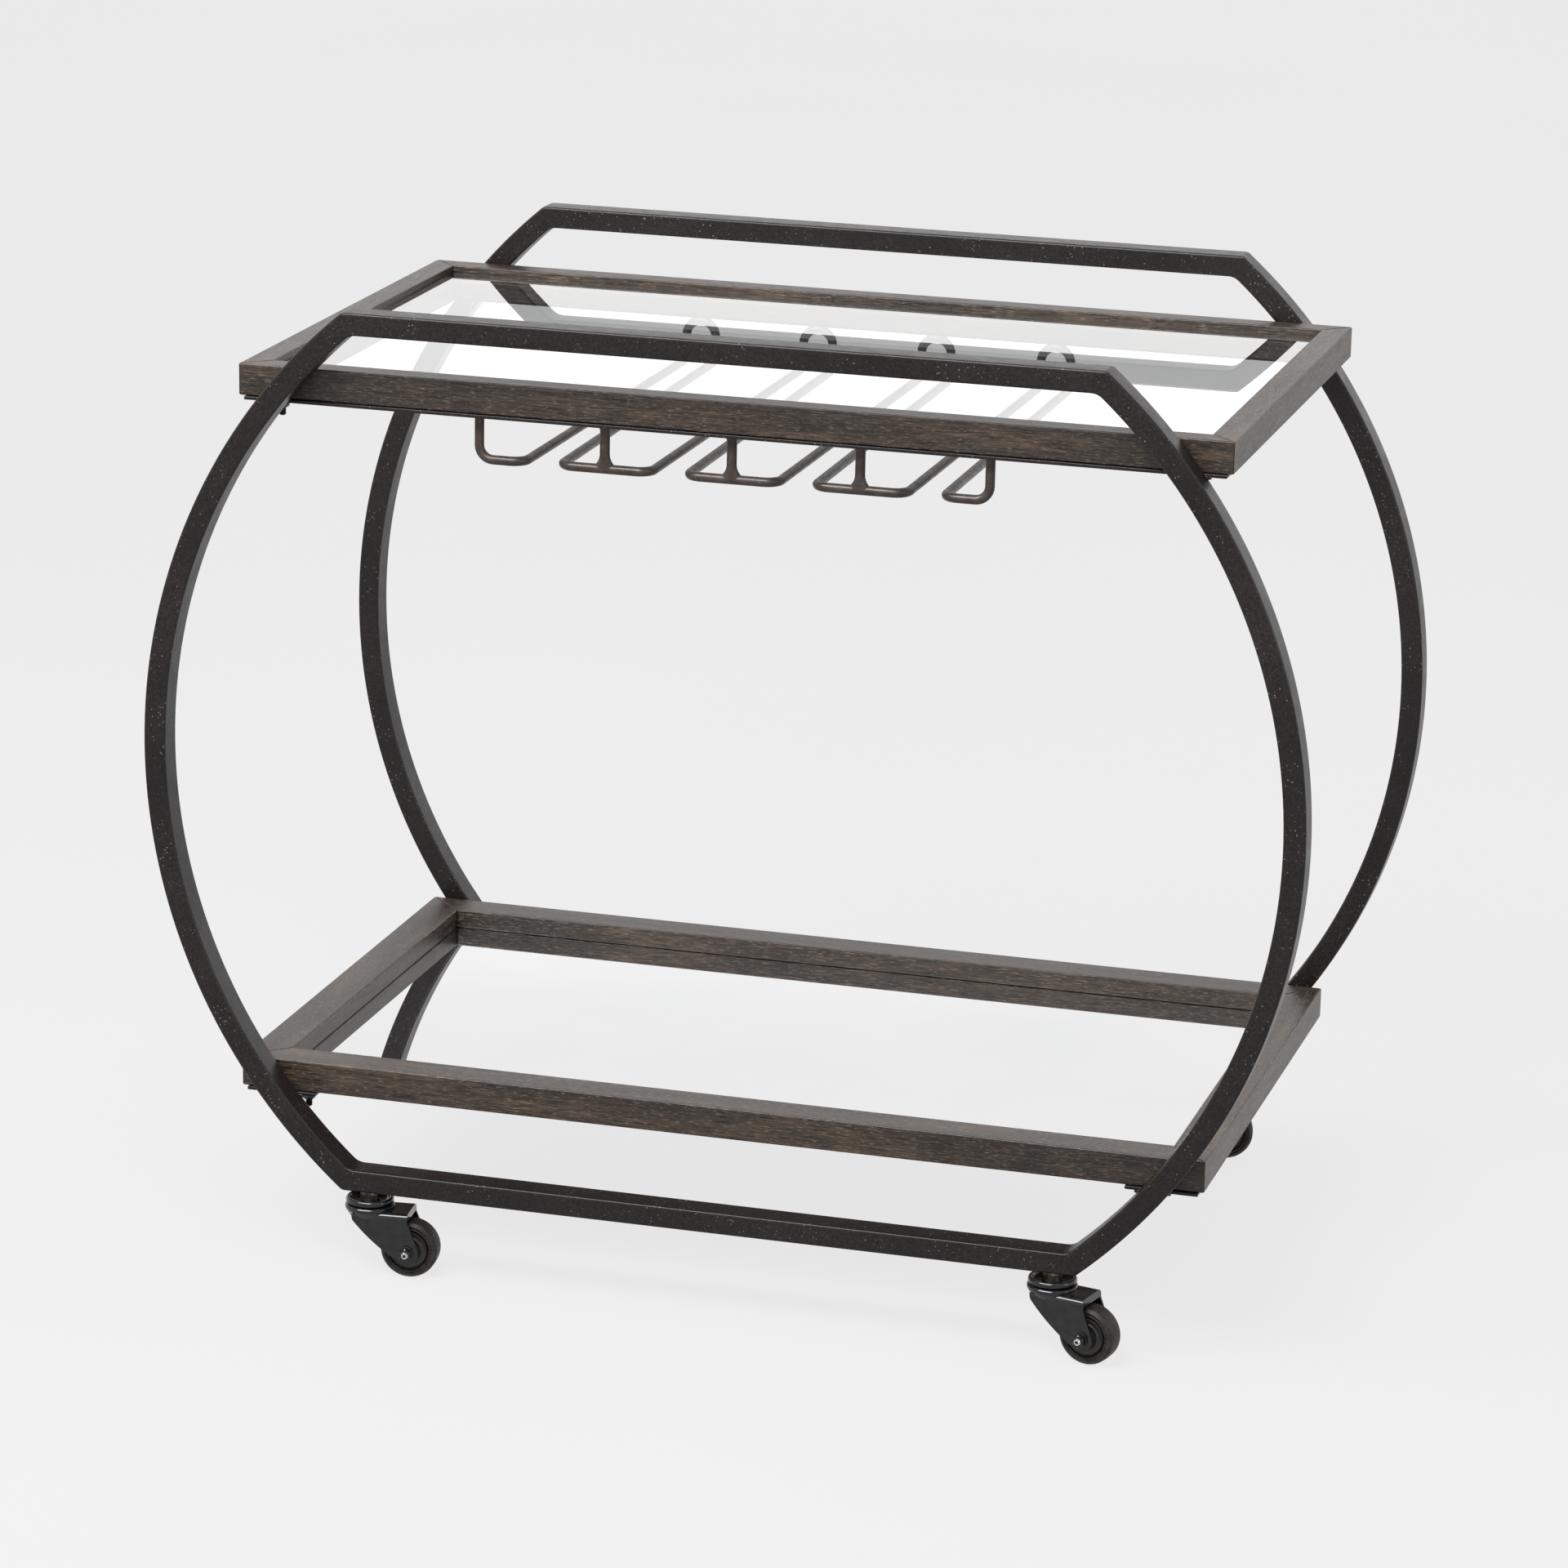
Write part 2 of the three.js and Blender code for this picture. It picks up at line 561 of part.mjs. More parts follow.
// Pressed fork: bent sheet, round head with its bearing ring, and a turned-down lip at the tail.
function casterFork() {
  const sheetLength = 80;
  const sheet = new THREE.ExtrudeGeometry(forkEndOutline(), {
    depth: sheetLength, curveSegments: 4, bevelEnabled: false,
  }).rotateY(-Math.PI / 2).translate(FORK_TAIL_X + sheetLength / 4, 0, 0);
  const silhouette = slabAcrossY(forkSideOutline(), 2 * FORK_HALF_WIDTH + 2, 10);
  const bentSheet = toGeometry(toSolid(sheet).intersect(toSolid(silhouette)));
  const head = turnedAlongZ([
    [0, FORK_TOP_Z - FORK_METAL],
    [FORK_HALF_WIDTH - 0.3, FORK_TOP_Z - FORK_METAL],
    [FORK_HALF_WIDTH - 0.3, FORK_TOP_Z - 0.3],
    [HEAD_RADIUS, FORK_TOP_Z + 0.5],
    [HEAD_RADIUS, HEAD_RING_TOP_Z - 0.8],
    [HEAD_RADIUS - 0.8, HEAD_RING_TOP_Z],
    [0, HEAD_RING_TOP_Z],
  ], 24);
  const lipMiddleZ = FORK_TOP_Z - FORK_METAL / 2 - FORK_LIP / 2;
  const lip = box(FORK_METAL, 2 * FORK_INNER_Y + 1, FORK_LIP, FORK_TAIL_X - FORK_METAL / 2, 0, lipMiddleZ);
  const kingpinHole = uprightPrism(
    STEM_RADIUS + RUNNING_GAP, 16, FORK_TOP_Z - 2 * FORK_METAL, HEAD_RING_TOP_Z + 1);
  const axleHole = crossPrism(AXLE_RADIUS + JOINT_GAP, 12, -FORK_HALF_WIDTH - 1, FORK_HALF_WIDTH + 1)
    .translate(CASTER_TRAIL, 0, WHEEL_RADIUS);
  return cut(join(bentSheet, head, lip), kingpinHole, axleHole);
}

// Axle bolt along Y with its nut on the -Y side.
function casterAxle() {
  const seat = FORK_HALF_WIDTH + JOINT_GAP;
  const shank = crossPrism(AXLE_RADIUS, 12, -seat - 6.5, seat + 1);
  const nut = crossPrism(hexRadius(NUT_ACROSS_FLATS), 6, -seat - NUT_HEIGHT, -seat);
  const head = crossPrism(hexRadius(NUT_ACROSS_FLATS), 6, seat, seat + 4);
  return join(shank, nut, head);
}

function tyreShape() {
  const shoulder = 3;
  return turnedAlongY([
    [HUB_RADIUS, -WHEEL_HALF_WIDTH + 1.5],
    [WHEEL_RADIUS - shoulder, -WHEEL_HALF_WIDTH],
    [WHEEL_RADIUS, -WHEEL_HALF_WIDTH + shoulder],
    [WHEEL_RADIUS, WHEEL_HALF_WIDTH - shoulder],
    [WHEEL_RADIUS - shoulder, WHEEL_HALF_WIDTH],
    [HUB_RADIUS, WHEEL_HALF_WIDTH - 1.5],
    [HUB_RADIUS, -WHEEL_HALF_WIDTH + 1.5],
  ], 32);
}

function hubShape() {
  const bore = AXLE_RADIUS + RUNNING_GAP;
  const webY = WHEEL_HALF_WIDTH - 2.5;
  const bossY = FORK_INNER_Y - RUNNING_GAP;
  const rim = HUB_RADIUS - JOINT_GAP;
  return turnedAlongY([
    [bore, -bossY],
    [7, -bossY],
    [8, -webY],
    [rim - 2, -webY],
    [rim, -webY - 1],
    [rim, webY + 1],
    [rim - 2, webY],
    [8, webY],
    [7, bossY],
    [bore, bossY],
    [bore, -bossY],
  ], 20);
}

// trailDegrees is where the wheel trails at rest, from +X; outward is the sign of the cart's
// outside in Y, where the axle's nut is.
function caster(name, x, outward, trailDegrees) {
  const group = new THREE.Group();
  group.position.set(x, outward * FRAME_MID_Y, 0);
  group.rotation.z = THREE.MathUtils.degToRad(trailDegrees);
  const wheel = new THREE.Group();
  wheel.position.set(CASTER_TRAIL, 0, WHEEL_RADIUS);
  const axle = piece(`${name}_caster_axle`, casterAxle(), zincPlate);
  axle.rotation.z = outward > 0 ? Math.PI : 0;
  wheel.add(
    axle,
    piece(`${name}_wheel_tyre`, tyreShape(), darkRubber),
    piece(`${name}_wheel_hub`, hubShape(), hubPlastic),
  );
  group.add(
    piece(`${name}_caster_stem`, casterStem(), casterBlack),
    piece(`${name}_caster_fork`, casterFork(), casterBlack),
    wheel,
  );
  return group;
}

// ---------------------------------------------------------------- the cart

const cart = new THREE.Group();
cart.add(
  sideFrame("front", -FRAME_MID_Y),
  sideFrame("rear", FRAME_MID_Y),
  tray("top_tray", TOP_RAIL_SECTION, TOP_TRAY_UNDERSIDE, TOP_STUD_X),
  tray("lower_tray", LOWER_RAIL_SECTION, LOWER_TRAY_UNDERSIDE, LOWER_STUD_X),
  ...panes(),
  ...straps(),
  ...studs(),
  ...rack(),
  caster("front_left", -CASTER_X, -1, 6),
  caster("front_right", CASTER_X, -1, -13),
  caster("rear_left", -CASTER_X, 1, -6),
  caster("rear_right", CASTER_X, 1, 13),
);

export default cart;
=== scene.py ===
"""Bar cart: the looks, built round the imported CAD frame.

Lengths are in metres. Every piece stands where the CAD has it and rides on a CAD body.
"""

import json
import math

import bmesh
import bpy
from mathutils import Matrix, Vector, noise


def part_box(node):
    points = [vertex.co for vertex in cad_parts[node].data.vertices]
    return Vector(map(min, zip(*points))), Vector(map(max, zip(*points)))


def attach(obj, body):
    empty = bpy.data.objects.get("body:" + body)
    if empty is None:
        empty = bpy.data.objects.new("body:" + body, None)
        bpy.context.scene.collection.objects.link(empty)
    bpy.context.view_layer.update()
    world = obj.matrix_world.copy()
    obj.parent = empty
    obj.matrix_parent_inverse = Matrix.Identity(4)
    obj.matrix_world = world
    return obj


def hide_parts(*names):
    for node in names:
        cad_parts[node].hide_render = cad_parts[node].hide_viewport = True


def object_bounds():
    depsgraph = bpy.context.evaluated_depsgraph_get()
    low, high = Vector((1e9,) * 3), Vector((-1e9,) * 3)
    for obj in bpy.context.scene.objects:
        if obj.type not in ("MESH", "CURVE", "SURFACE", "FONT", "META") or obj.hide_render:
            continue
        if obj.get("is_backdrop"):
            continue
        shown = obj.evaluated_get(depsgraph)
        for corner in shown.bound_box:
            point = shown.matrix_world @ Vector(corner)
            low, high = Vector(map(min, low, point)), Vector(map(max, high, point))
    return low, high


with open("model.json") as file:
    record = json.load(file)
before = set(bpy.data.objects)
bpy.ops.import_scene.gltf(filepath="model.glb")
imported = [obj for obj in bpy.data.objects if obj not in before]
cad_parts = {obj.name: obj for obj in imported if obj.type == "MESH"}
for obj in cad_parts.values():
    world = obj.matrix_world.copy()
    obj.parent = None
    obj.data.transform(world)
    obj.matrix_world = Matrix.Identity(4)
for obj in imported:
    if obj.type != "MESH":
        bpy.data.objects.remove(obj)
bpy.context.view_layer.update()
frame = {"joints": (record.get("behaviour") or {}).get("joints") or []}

# ------------------------------------------------------------------ sizes, as in the CAD

CIRCLE_RADIUS = 0.500  # outside of the tube
CIRCLE_CENTRE_Z = 0.457
FLAT_RISE = 0.382  # circle centre to the outside of each flat rail
TUBE_FACE = 0.019  # in the plane of the frame

TRAY_THICKNESS = 0.027
RAIL_WIDTH = 0.034
REBATE = 0.011
LEDGE_HEIGHT = 0.0157  # underside to the ledge that the glass lies on
LIP_HEIGHT = 0.010  # underside to the top of the mirror's rebate

ROD_RADIUS = 0.004
ROD_BEND = 0.012
ROD_Z = 0.7165
SLOT_COUNT = 4
SLOT_PITCH = 0.109
SLOT_FRONT_WIDTH = 0.0315
SLOT_REAR_WIDTH = 0.027
RACK_CENTRE_X = 0.0025
RACK_FRONT_Y = -0.237
RACK_REAR_Y = 0.2174
ARCH_TOP_Z = 0.7527

NUT_ACROSS_FLATS = 0.010
STUD_RADIUS = 0.003

CASTERS = ("front_left", "front_right", "rear_left", "rear_right")
CASTER_TRAIL = 0.036  # swivel axis to wheel axis
WHEEL_RADIUS = 0.025
WHEEL_HALF_WIDTH = 0.0105
HUB_RADIUS = 0.017
AXLE_HEIGHT = WHEEL_RADIUS
AXLE_RADIUS = 0.003
RUNNING_GAP = 0.0003
BORE_RADIUS = AXLE_RADIUS + RUNNING_GAP
FORK_HALF_WIDTH = 0.018
FORK_METAL = 0.002
FORK_BEND = 0.005
FORK_TOP_Z = 0.0595
FORK_TAIL_X = 0.0365
FORK_END_RADIUS = 0.0105
HEAD_RADIUS = 0.0215
HEAD_RING_TOP_Z = 0.063
CAP_FLOOR_Z = 0.065
CAP_RIM_Z = 0.069
STEM_RADIUS = 0.005

# ------------------------------------------------------------------ fine shapes, plainer in the CAD

TUBE_ARRIS = 0.0024
OUTER_CORNER_EASE = 0.0024
INNER_CORNER_EASE = 0.0056
RAIL_ARRIS = 0.0011
MITRE_GAP = 0.00008  # on each side of a mitre
PANE_ARRIS = 0.0006
STRAP_ARRIS = 0.0007
WELD_RADIUS = 0.003
WELD_INNER_OVERRUN = 0.001
WELD_OUTER_OVERRUN = 0.003
FORK_ARRIS = 0.00045
FORK_HEEL_X = -0.0125  # 1.5 mm behind the CAD's
LIP_DROP = 0.007  # how far the fork's tail is turned down, 1 mm more than the CAD's

# ------------------------------------------------------------------ fineness of the meshes

SAME_POINT = 1e-6  # vertices closer than this are one
SHORTEST_STEP = 1e-5  # points of a path closer than this are one
WHEEL_SEGMENTS = 128
HEAD_SEGMENTS = 96
PIN_SEGMENTS = 40
WHEEL_SMOOTH = 45  # degrees: edges that turn by more than this stay sharp
PIN_SMOOTH = 32
WELD_SMOOTH = 60


# ------------------------------------------------------------------ node helpers


class Nodes:
    """A material's node tree, with short calls for the nodes that these materials use."""

    def __init__(self, name):
        self.material = bpy.data.materials.new(name)
        self.material.use_nodes = True
        self.tree = self.material.node_tree
        self.tree.nodes.clear()
        self.output = self.tree.nodes.new("ShaderNodeOutputMaterial")
        self.object_space = self.tree.nodes.new("ShaderNodeTexCoord").outputs["Object"]
        self.surface = None

    def link(self, source, target):
        """Joins an output socket to an input socket."""
        self.tree.links.new(source, target)

    def stretched(self, scale):
        """Object coordinates times a scale, which is one number or one for each axis."""
        mapping = self.tree.nodes.new("ShaderNodeMapping")
        mapping.inputs["Scale"].default_value = scale if isinstance(scale, tuple) else [scale] * 3
        self.link(self.object_space, mapping.inputs["Vector"])
        return mapping.outputs["Vector"]

    def noise(self, scale, detail=3.0, rough=0.55, distortion=0.0):
        """Noise with about scale features a metre."""
        texture = self.tree.nodes.new("ShaderNodeTexNoise")
        texture.inputs["Scale"].default_value = 1.0
        texture.inputs["Detail"].default_value = detail
        texture.inputs["Roughness"].default_value = rough
        texture.inputs["Distortion"].default_value = distortion
        self.link(self.stretched(scale), texture.inputs["Vector"])
        return texture.outputs["Fac"]

    def spots(self, scale):
        """Distance to the nearest of scattered points, about scale of them a metre."""
        texture = self.tree.nodes.new("ShaderNodeTexVoronoi")
        texture.inputs["Scale"].default_value = 1.0
        self.link(self.stretched(scale), texture.inputs["Vector"])
        return texture.outputs["Distance"]

    def ramp(self, value, *stops):
        """Colours or grey levels at places along a value: (place, level or colour)."""
        node = self.tree.nodes.new("ShaderNodeValToRGB")
        while len(node.color_ramp.elements) < len(stops):
            node.color_ramp.elements.new(1.0)
        for element, (place, level) in zip(node.color_ramp.elements, stops):
            element.position = place
            red_green_blue = level if isinstance(level, tuple) else (level, level, level)
            element.color = (*red_green_blue, 1.0)
        self.link(value, node.inputs["Fac"])
        return node.outputs["Color"]

    def mix(self, factor, first, second, blend="MIX"):
        """A colour mix; factor is a number or a socket."""
        node = self.tree.nodes.new("ShaderNodeMix")
        node.data_type = "RGBA"
        node.blend_type = blend
        if isinstance(factor, float):
            node.inputs["Factor"].default_value = factor
        else:
            self.link(factor, node.inputs["Factor"])
        for socket, source in ((node.inputs["A"], first), (node.inputs["B"], second)):
            if isinstance(source, tuple):
                socket.default_value = (*source, 1.0)
            else:
                self.link(source, socket)
        return node.outputs["Result"]

    def math(self, operation, first, second):
        """The result of one operation on two values; each is a number or a socket."""
        node = self.tree.nodes.new("ShaderNodeMath")
        node.operation = operation
        for socket, source in ((node.inputs[0], first), (node.inputs[1], second)):
            if isinstance(source, float):
                socket.default_value = source
            else:
                self.link(source, socket)
        return node.outputs["Value"]

    def bump(self, height, distance, strength=1.0, below=None):
        """A normal from a height; distance is how many metres the height's 1 stands for."""
        node = self.tree.nodes.new("ShaderNodeBump")
        node.inputs["Strength"].default_value = strength
        node.inputs["Distance"].default_value = distance
        self.link(height, node.inputs["Height"])
        if below is not None:
            self.link(below, node.inputs["Normal"])
        return node.outputs["Normal"]

    def principled(self, color, roughness, normal=None, **levels):
        """The finished surface. levels are plain numbers for sockets named with underscores."""
        shader = self.tree.nodes.new("ShaderNodeBsdfPrincipled")
        self.link(color, shader.inputs["Base Color"])
        self.link(roughness, shader.inputs["Roughness"])
        if normal is not None:
            self.link(normal, shader.inputs["Normal"])
        for name, level in levels.items():
            shader.inputs[name.replace("_", " ")].default_value = level
        self.link(shader.outputs["BSDF"], self.output.inputs["Surface"])
        self.surface = shader
        return self.material


# ------------------------------------------------------------------ materials


def powder_coat():
    """Matt black powder coat: a fine orange peel, faint cloudiness and a few pale specks."""
    n = Nodes("powder_coat")
    cloud = n.noise(9, 5, 0.6)
    base = n.ramp(cloud, (0.3, (0.0034, 0.0024, 0.0023)), (0.7, (0.0075, 0.0058, 0.0056)))
    grit = n.ramp(n.noise(620, 3, 0.7), (0.36, 0.30), (0.66, 2.3))
    gritty = n.mix(1.0, base, grit, "MULTIPLY")
    speck = n.ramp(n.spots(260), (0.10, 1.0), (0.20, 0.0))
    patch = n.ramp(n.noise(40, 3), (0.46, 0.0), (0.64, 0.6))
    speckled = n.mix(n.math("MULTIPLY", speck, patch), gritty, (0.20, 0.18, 0.165))
    roughness = n.ramp(n.noise(75, 5), (0.25, 0.34), (0.75, 0.50))
    peel = n.bump(n.noise(1100, 3), 0.00005, 0.6)
    return n.principled(
        speckled, roughness, peel, Specular_IOR_Level=0.12, Coat_Weight=0.26, Coat_Roughness=0.22
    )


def stained_wood(name, along):
    """Dark stained open-grained timber, with its grain along one axis (0 for X, 1 for Y)."""

    def scale(lengthwise, across):
        """Features a metre along the grain, and across it on both other axes."""
        return tuple(lengthwise if axis == along else across for axis in range(3))

    n = Nodes(name)
    figure = n.noise(scale(4.5, 48), 6, 0.62, 1.1)
    fibre = n.noise(scale(38, 620), 4, 0.65)
    pore = n.noise(scale(140, 980), 3, 0.55)
    stain = n.ramp(
        figure,
        (0.30, (0.0090, 0.0057, 0.0037)),
        (0.50, (0.0200, 0.0130, 0.0085)),
        (0.70, (0.0430, 0.0285, 0.0190)),
    )
    grained = n.mix(1.0, stain, n.ramp(fibre, (0.34, 0.10), (0.68, 1.9)), "MULTIPLY")
    dusted = n.mix(n.ramp(pore, (0.56, 0.0), (0.70, 0.55)), grained, (0.150, 0.122, 0.100))
    pored = n.mix(n.ramp(pore, (0.30, 0.9), (0.42, 0.0)), dusted, (0.0045, 0.0034, 0.0027))
    roughness = n.ramp(fibre, (0.3, 0.32), (0.7, 0.52))
    open_grain = n.bump(n.ramp(pore, (0.28, 0.0), (0.46, 1.0)), 0.00020, 0.6)
    surface = n.bump(fibre, 0.00014, 0.6, open_grain)
    return n.principled(
        pored, roughness, surface, Specular_IOR_Level=0.25, Coat_Weight=0.2, Coat_Roughness=0.3
    )


def rod_lacquer():
    """Dark bronze lacquer on round rod, worn a little brighter in places."""
    n = Nodes("rod_lacquer")
    tone = n.ramp(n.noise(70, 4), (0.3, (0.022, 0.0165, 0.0135)), (0.7, (0.046, 0.036, 0.030)))
    rubbed = n.ramp(n.noise(240, 3), (0.62, 0.0), (0.78, 0.6))
    color = n.mix(rubbed, tone, (0.12, 0.100, 0.085))
    roughness = n.ramp(n.noise(160, 4), (0.3, 0.26), (0.7, 0.44))
    ripple = n.bump(n.noise(700, 3), 0.00005, 0.5)
    return n.principled(color, roughness, ripple, Metallic=0.35, Specular_IOR_Level=0.35)


def gloss_black():
    """Stoved gloss black on pressed plate."""
    n = Nodes("gloss_black")
    color = n.ramp(n.noise(120, 4), (0.35, (0.0035, 0.0035, 0.0037)), (0.7, (0.0085, 0.0085, 0.0088)))
    roughness = n.ramp(n.noise(90, 5), (0.3, 0.09), (0.72, 0.2))
    ripple = n.bump(n.noise(420, 2), 0.00002, 0.5)
    return n.principled(
        color, roughness, ripple, Specular_IOR_Level=0.2, Coat_Weight=0.4, Coat_Roughness=0.03
    )


def dark_passivate():
    """Olive-dark passivated steel of the hexagon."""
    n = Nodes("dark_passivate")
    color = n.ramp(n.noise(160, 3), (0.3, (0.075, 0.072, 0.052)), (0.7, (0.15, 0.145, 0.11)))
    roughness = n.ramp(n.noise(300, 3), (0.3, 0.24), (0.7, 0.42))
    wear = n.bump(n.noise(900, 3), 0.00004, 0.5)
    return n.principled(color, roughness, wear, Metallic=0.8)


def zinc():
    """Bright zinc, slightly worn."""
    n = Nodes("zinc")
    color = n.ramp(n.noise(500, 4), (0.3, (0.42, 0.41, 0.39)), (0.7, (0.74, 0.73, 0.70)))
    roughness = n.ramp(n.noise(900, 3), (0.3, 0.16), (0.7, 0.36))
    wear = n.bump(n.noise(1600, 3), 0.00003, 0.5)
    return n.principled(color, roughness, wear, Metallic=1.0)


def tyre_rubber():
    """Hard dark brown-black tread, dusty in patches."""
    n = Nodes("tyre_rubber")
    dusty = n.ramp(n.noise(150, 5, 0.65), (0.42, 0.0), (0.75, 0.8))
    color = n.mix(dusty, (0.0055, 0.0042, 0.0036), (0.028, 0.0215, 0.017))
    roughness = n.ramp(n.noise(320, 4), (0.3, 0.42), (0.7, 0.66))
    grain = n.bump(n.noise(1300, 4), 0.00008, 0.6)
    return n.principled(color, roughness, grain, Specular_IOR_Level=0.3)


def hub_plastic():
    """Dark moulded wheel centre."""
    n = Nodes("hub_plastic")
    color = n.ramp(n.noise(200, 4), (0.3, (0.007, 0.0066, 0.0064)), (0.7, (0.016, 0.0145, 0.014)))
    roughness = n.ramp(n.noise(260, 3), (0.3, 0.30), (0.7, 0.48))
    grain = n.bump(n.noise(1800, 2), 0.00003, 0.5)
    return n.principled(color, roughness, grain, Specular_IOR_Level=0.4)


def mirror_silver():
    """Silvered glass with the faintest unevenness."""
    n = Nodes("mirror_silver")
    color = n.ramp(n.noise(6, 3), (0.3, (0.83, 0.835, 0.835)), (0.7, (0.86, 0.86, 0.86)))
    roughness = n.ramp(n.noise(14, 4), (0.3, 0.006), (0.75, 0.022))
    return n.principled(color, roughness, Metallic=1.0)


def hardboard():
    """Brown hardboard behind the mirror."""
    n = Nodes("hardboard")
    color = n.ramp(n.noise((900, 300, 900), 5), (0.3, (0.05, 0.034, 0.022)), (0.7, (0.11, 0.078, 0.052)))
    roughness = n.ramp(n.noise(60, 4), (0.3, 0.62), (0.7, 0.85))
    felt = n.bump(n.noise((1500, 600, 1500), 4), 0.0001, 0.6)
    return n.principled(color, roughness, felt)


GLASS_IOR = 1.5
BOTH_FACES_SHINE = 1.6  # a pane's front and back together, as a multiple of its front alone


def clear_glass():
    """A clear flat pane that doesn't bend what is behind it, and reflects from its outside only."""
    n = Nodes("clear_glass")
    clear = n.tree.nodes.new("ShaderNodeBsdfTransparent")
    tint = n.ramp(n.noise(3, 2), (0.3, (0.975, 0.988, 0.984)), (0.7, (0.985, 0.994, 0.991)))
    n.link(tint, clear.inputs["Color"])
    gloss = n.tree.nodes.new("ShaderNodeBsdfGlossy")
    gloss.inputs["Color"].default_value = (1.0, 1.0, 1.0, 1.0)
    smear = n.ramp(n.noise(11, 5), (0.35, 0.004), (0.8, 0.03))
    n.link(smear, gloss.inputs["Roughness"])
    fresnel = n.tree.nodes.new("ShaderNodeFresnel")
    fresnel.inputs["IOR"].default_value = GLASS_IOR
    facing = n.tree.nodes.new("ShaderNodeNewGeometry").outputs["Backfacing"]
    outside = n.math("SUBTRACT", 1.0, facing)
    both_faces = n.math("MULTIPLY", fresnel.outputs["Fac"], BOTH_FACES_SHINE)
    share = n.math("MULTIPLY", both_faces, outside)
    mixer = n.tree.nodes.new("ShaderNodeMixShader")
    n.link(share, mixer.inputs["Fac"])
    n.link(clear.outputs["BSDF"], mixer.inputs[1])
    n.link(gloss.outputs["BSDF"], mixer.inputs[2])
    n.link(mixer.outputs["Shader"], n.output.inputs["Surface"])
    return n.material


POWDER_COAT = powder_coat()
WOOD_ALONG_X = stained_wood("wood_along_x", 0)
WOOD_ALONG_Y = stained_wood("wood_along_y", 1)
ROD_LACQUER = rod_lacquer()
GLOSS_BLACK = gloss_black()
DARK_PASSIVATE = dark_passivate()
ZINC = zinc()
TYRE_RUBBER = tyre_rubber()
HUB_PLASTIC = hub_plastic()
MIRROR_SILVER = mirror_silver()
HARDBOARD = hardboard()
CLEAR_GLASS = clear_glass()


# ------------------------------------------------------------------ mesh helpers


def make_mesh(name, vertices, faces, material, smooth_degrees=38):
    """A clean closed mesh, smooth but for edges sharper than smooth_degrees."""
    mesh = bpy.data.meshes.new(name)
    mesh.from_pydata([tuple(v) for v in vertices], [], faces)
    work = bmesh.new()
    work.from_mesh(mesh)
    bmesh.ops.remove_doubles(work, verts=work.verts, dist=SAME_POINT)
    bmesh.ops.recalc_face_normals(work, faces=work.faces)
    work.to_mesh(mesh)
    work.free()
    mesh.shade_smooth()
    mesh.set_sharp_from_angle(angle=math.radians(smooth_degrees))
    mesh.materials.append(material)
    return mesh


def bevelled(mesh, width, segments=2, sharper_than=30, smooth_degrees=50):
    """Rounds every edge of the mesh that turns by more than sharper_than degrees."""
    work = bmesh.new()
    work.from_mesh(mesh)
    limit = math.radians(sharper_than)
    edges = [edge for edge in work.edges if edge.is_manifold and edge.calc_face_angle() > limit]
    bmesh.ops.bevel(
        work, geom=edges, offset=width, offset_type="OFFSET", segments=segments,
        profile=0.5, affect="EDGES", clamp_overlap=True,
    )
    work.to_mesh(mesh)
    work.free()
    mesh.shade_smooth()
    mesh.set_sharp_from_angle(angle=math.radians(smooth_degrees))
    return mesh


def place(name, mesh, body, slot, replaces=(), matrix=None, weighted=False):
    """Shows a mesh as a piece that rides on a CAD body and stands for the CAD nodes it replaces."""
    piece = bpy.data.objects.new(name, mesh)
    bpy.context.scene.collection.objects.link(piece)
    if matrix is not None:
        piece.matrix_world = matrix
    if weighted:
        modifier = piece.modifiers.new("even_normals", "WEIGHTED_NORMAL")
        modifier.keep_sharp = True
    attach(piece, body)
    if replaces:
        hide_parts(*replaces)


def skin(rings, closed):
    """Vertices and faces over equal rings of points, capped at the ends unless closed."""
    count = len(rings[0])
    vertices = [point for ring in rings for point in ring]
    spans = len(rings) if closed else len(rings) - 1
    faces = []
    for i in range(spans):
        here = i * count
        there = (i + 1) % len(rings) * count
        for j in range(count):
            k = (j + 1) % count
            faces.append((here + j, here + k, there + k, there + j))
    if not closed:
        faces.append(tuple(range(count)))
        faces.append(tuple(range((len(rings) - 1) * count, len(rings) * count)))
    return vertices, faces


def curve_between(start, bend, end, steps=10):
    """The points inside a curve that leaves start and meets end both pointing at bend."""
    shares = [step / steps for step in range(1, steps)]
    return [start * (1 - t) ** 2 + bend * 2 * t * (1 - t) + end * t * t for t in shares]


def softened(profile, radius, steps=4, most_of_edge=0.45):
    """A closed profile with each corner rounded off by up to radius."""
    points = [Vector(point) for point in profile]
    result = []
    for i, corner in enumerate(points):
        before = points[i - 1] - corner
        after = points[(i + 1) % len(points)] - corner
        reach = min(radius, before.length * most_of_edge, after.length * most_of_edge)
        start = corner + before.normalized() * reach
        end = corner + after.normalized() * reach
        result += [start, *curve_between(start, corner, end, steps), end]
    return result


def angles_round(count):
    """So many equal steps round a full turn, in radians."""
    return [2 * math.pi * i / count for i in range(count)]


def lathed(profile, segments, closed=True):
    """Turns (radius, height) points about Z. An open profile starts and ends on the axis."""
    vertices = []
    faces = []
    count = len(profile)
    for angle in angles_round(segments):
        vertices += [(r * math.cos(angle), r * math.sin(angle), z) for r, z in profile]
    for i in range(segments):
        here = i * count
        there = (i + 1) % segments * count
        for j in range(count if closed else count - 1):
            k = (j + 1) % count
            faces.append((here + j, there + j, there + k, here + k))
    return vertices, faces


def prism(outline, bottom, top):
    """An outline of (x, y) points raised from bottom to top."""
    lower = [(x, y, bottom) for x, y in outline]
    upper = [(x, y, top) for x, y in outline]
    return skin([lower, upper], closed=False)


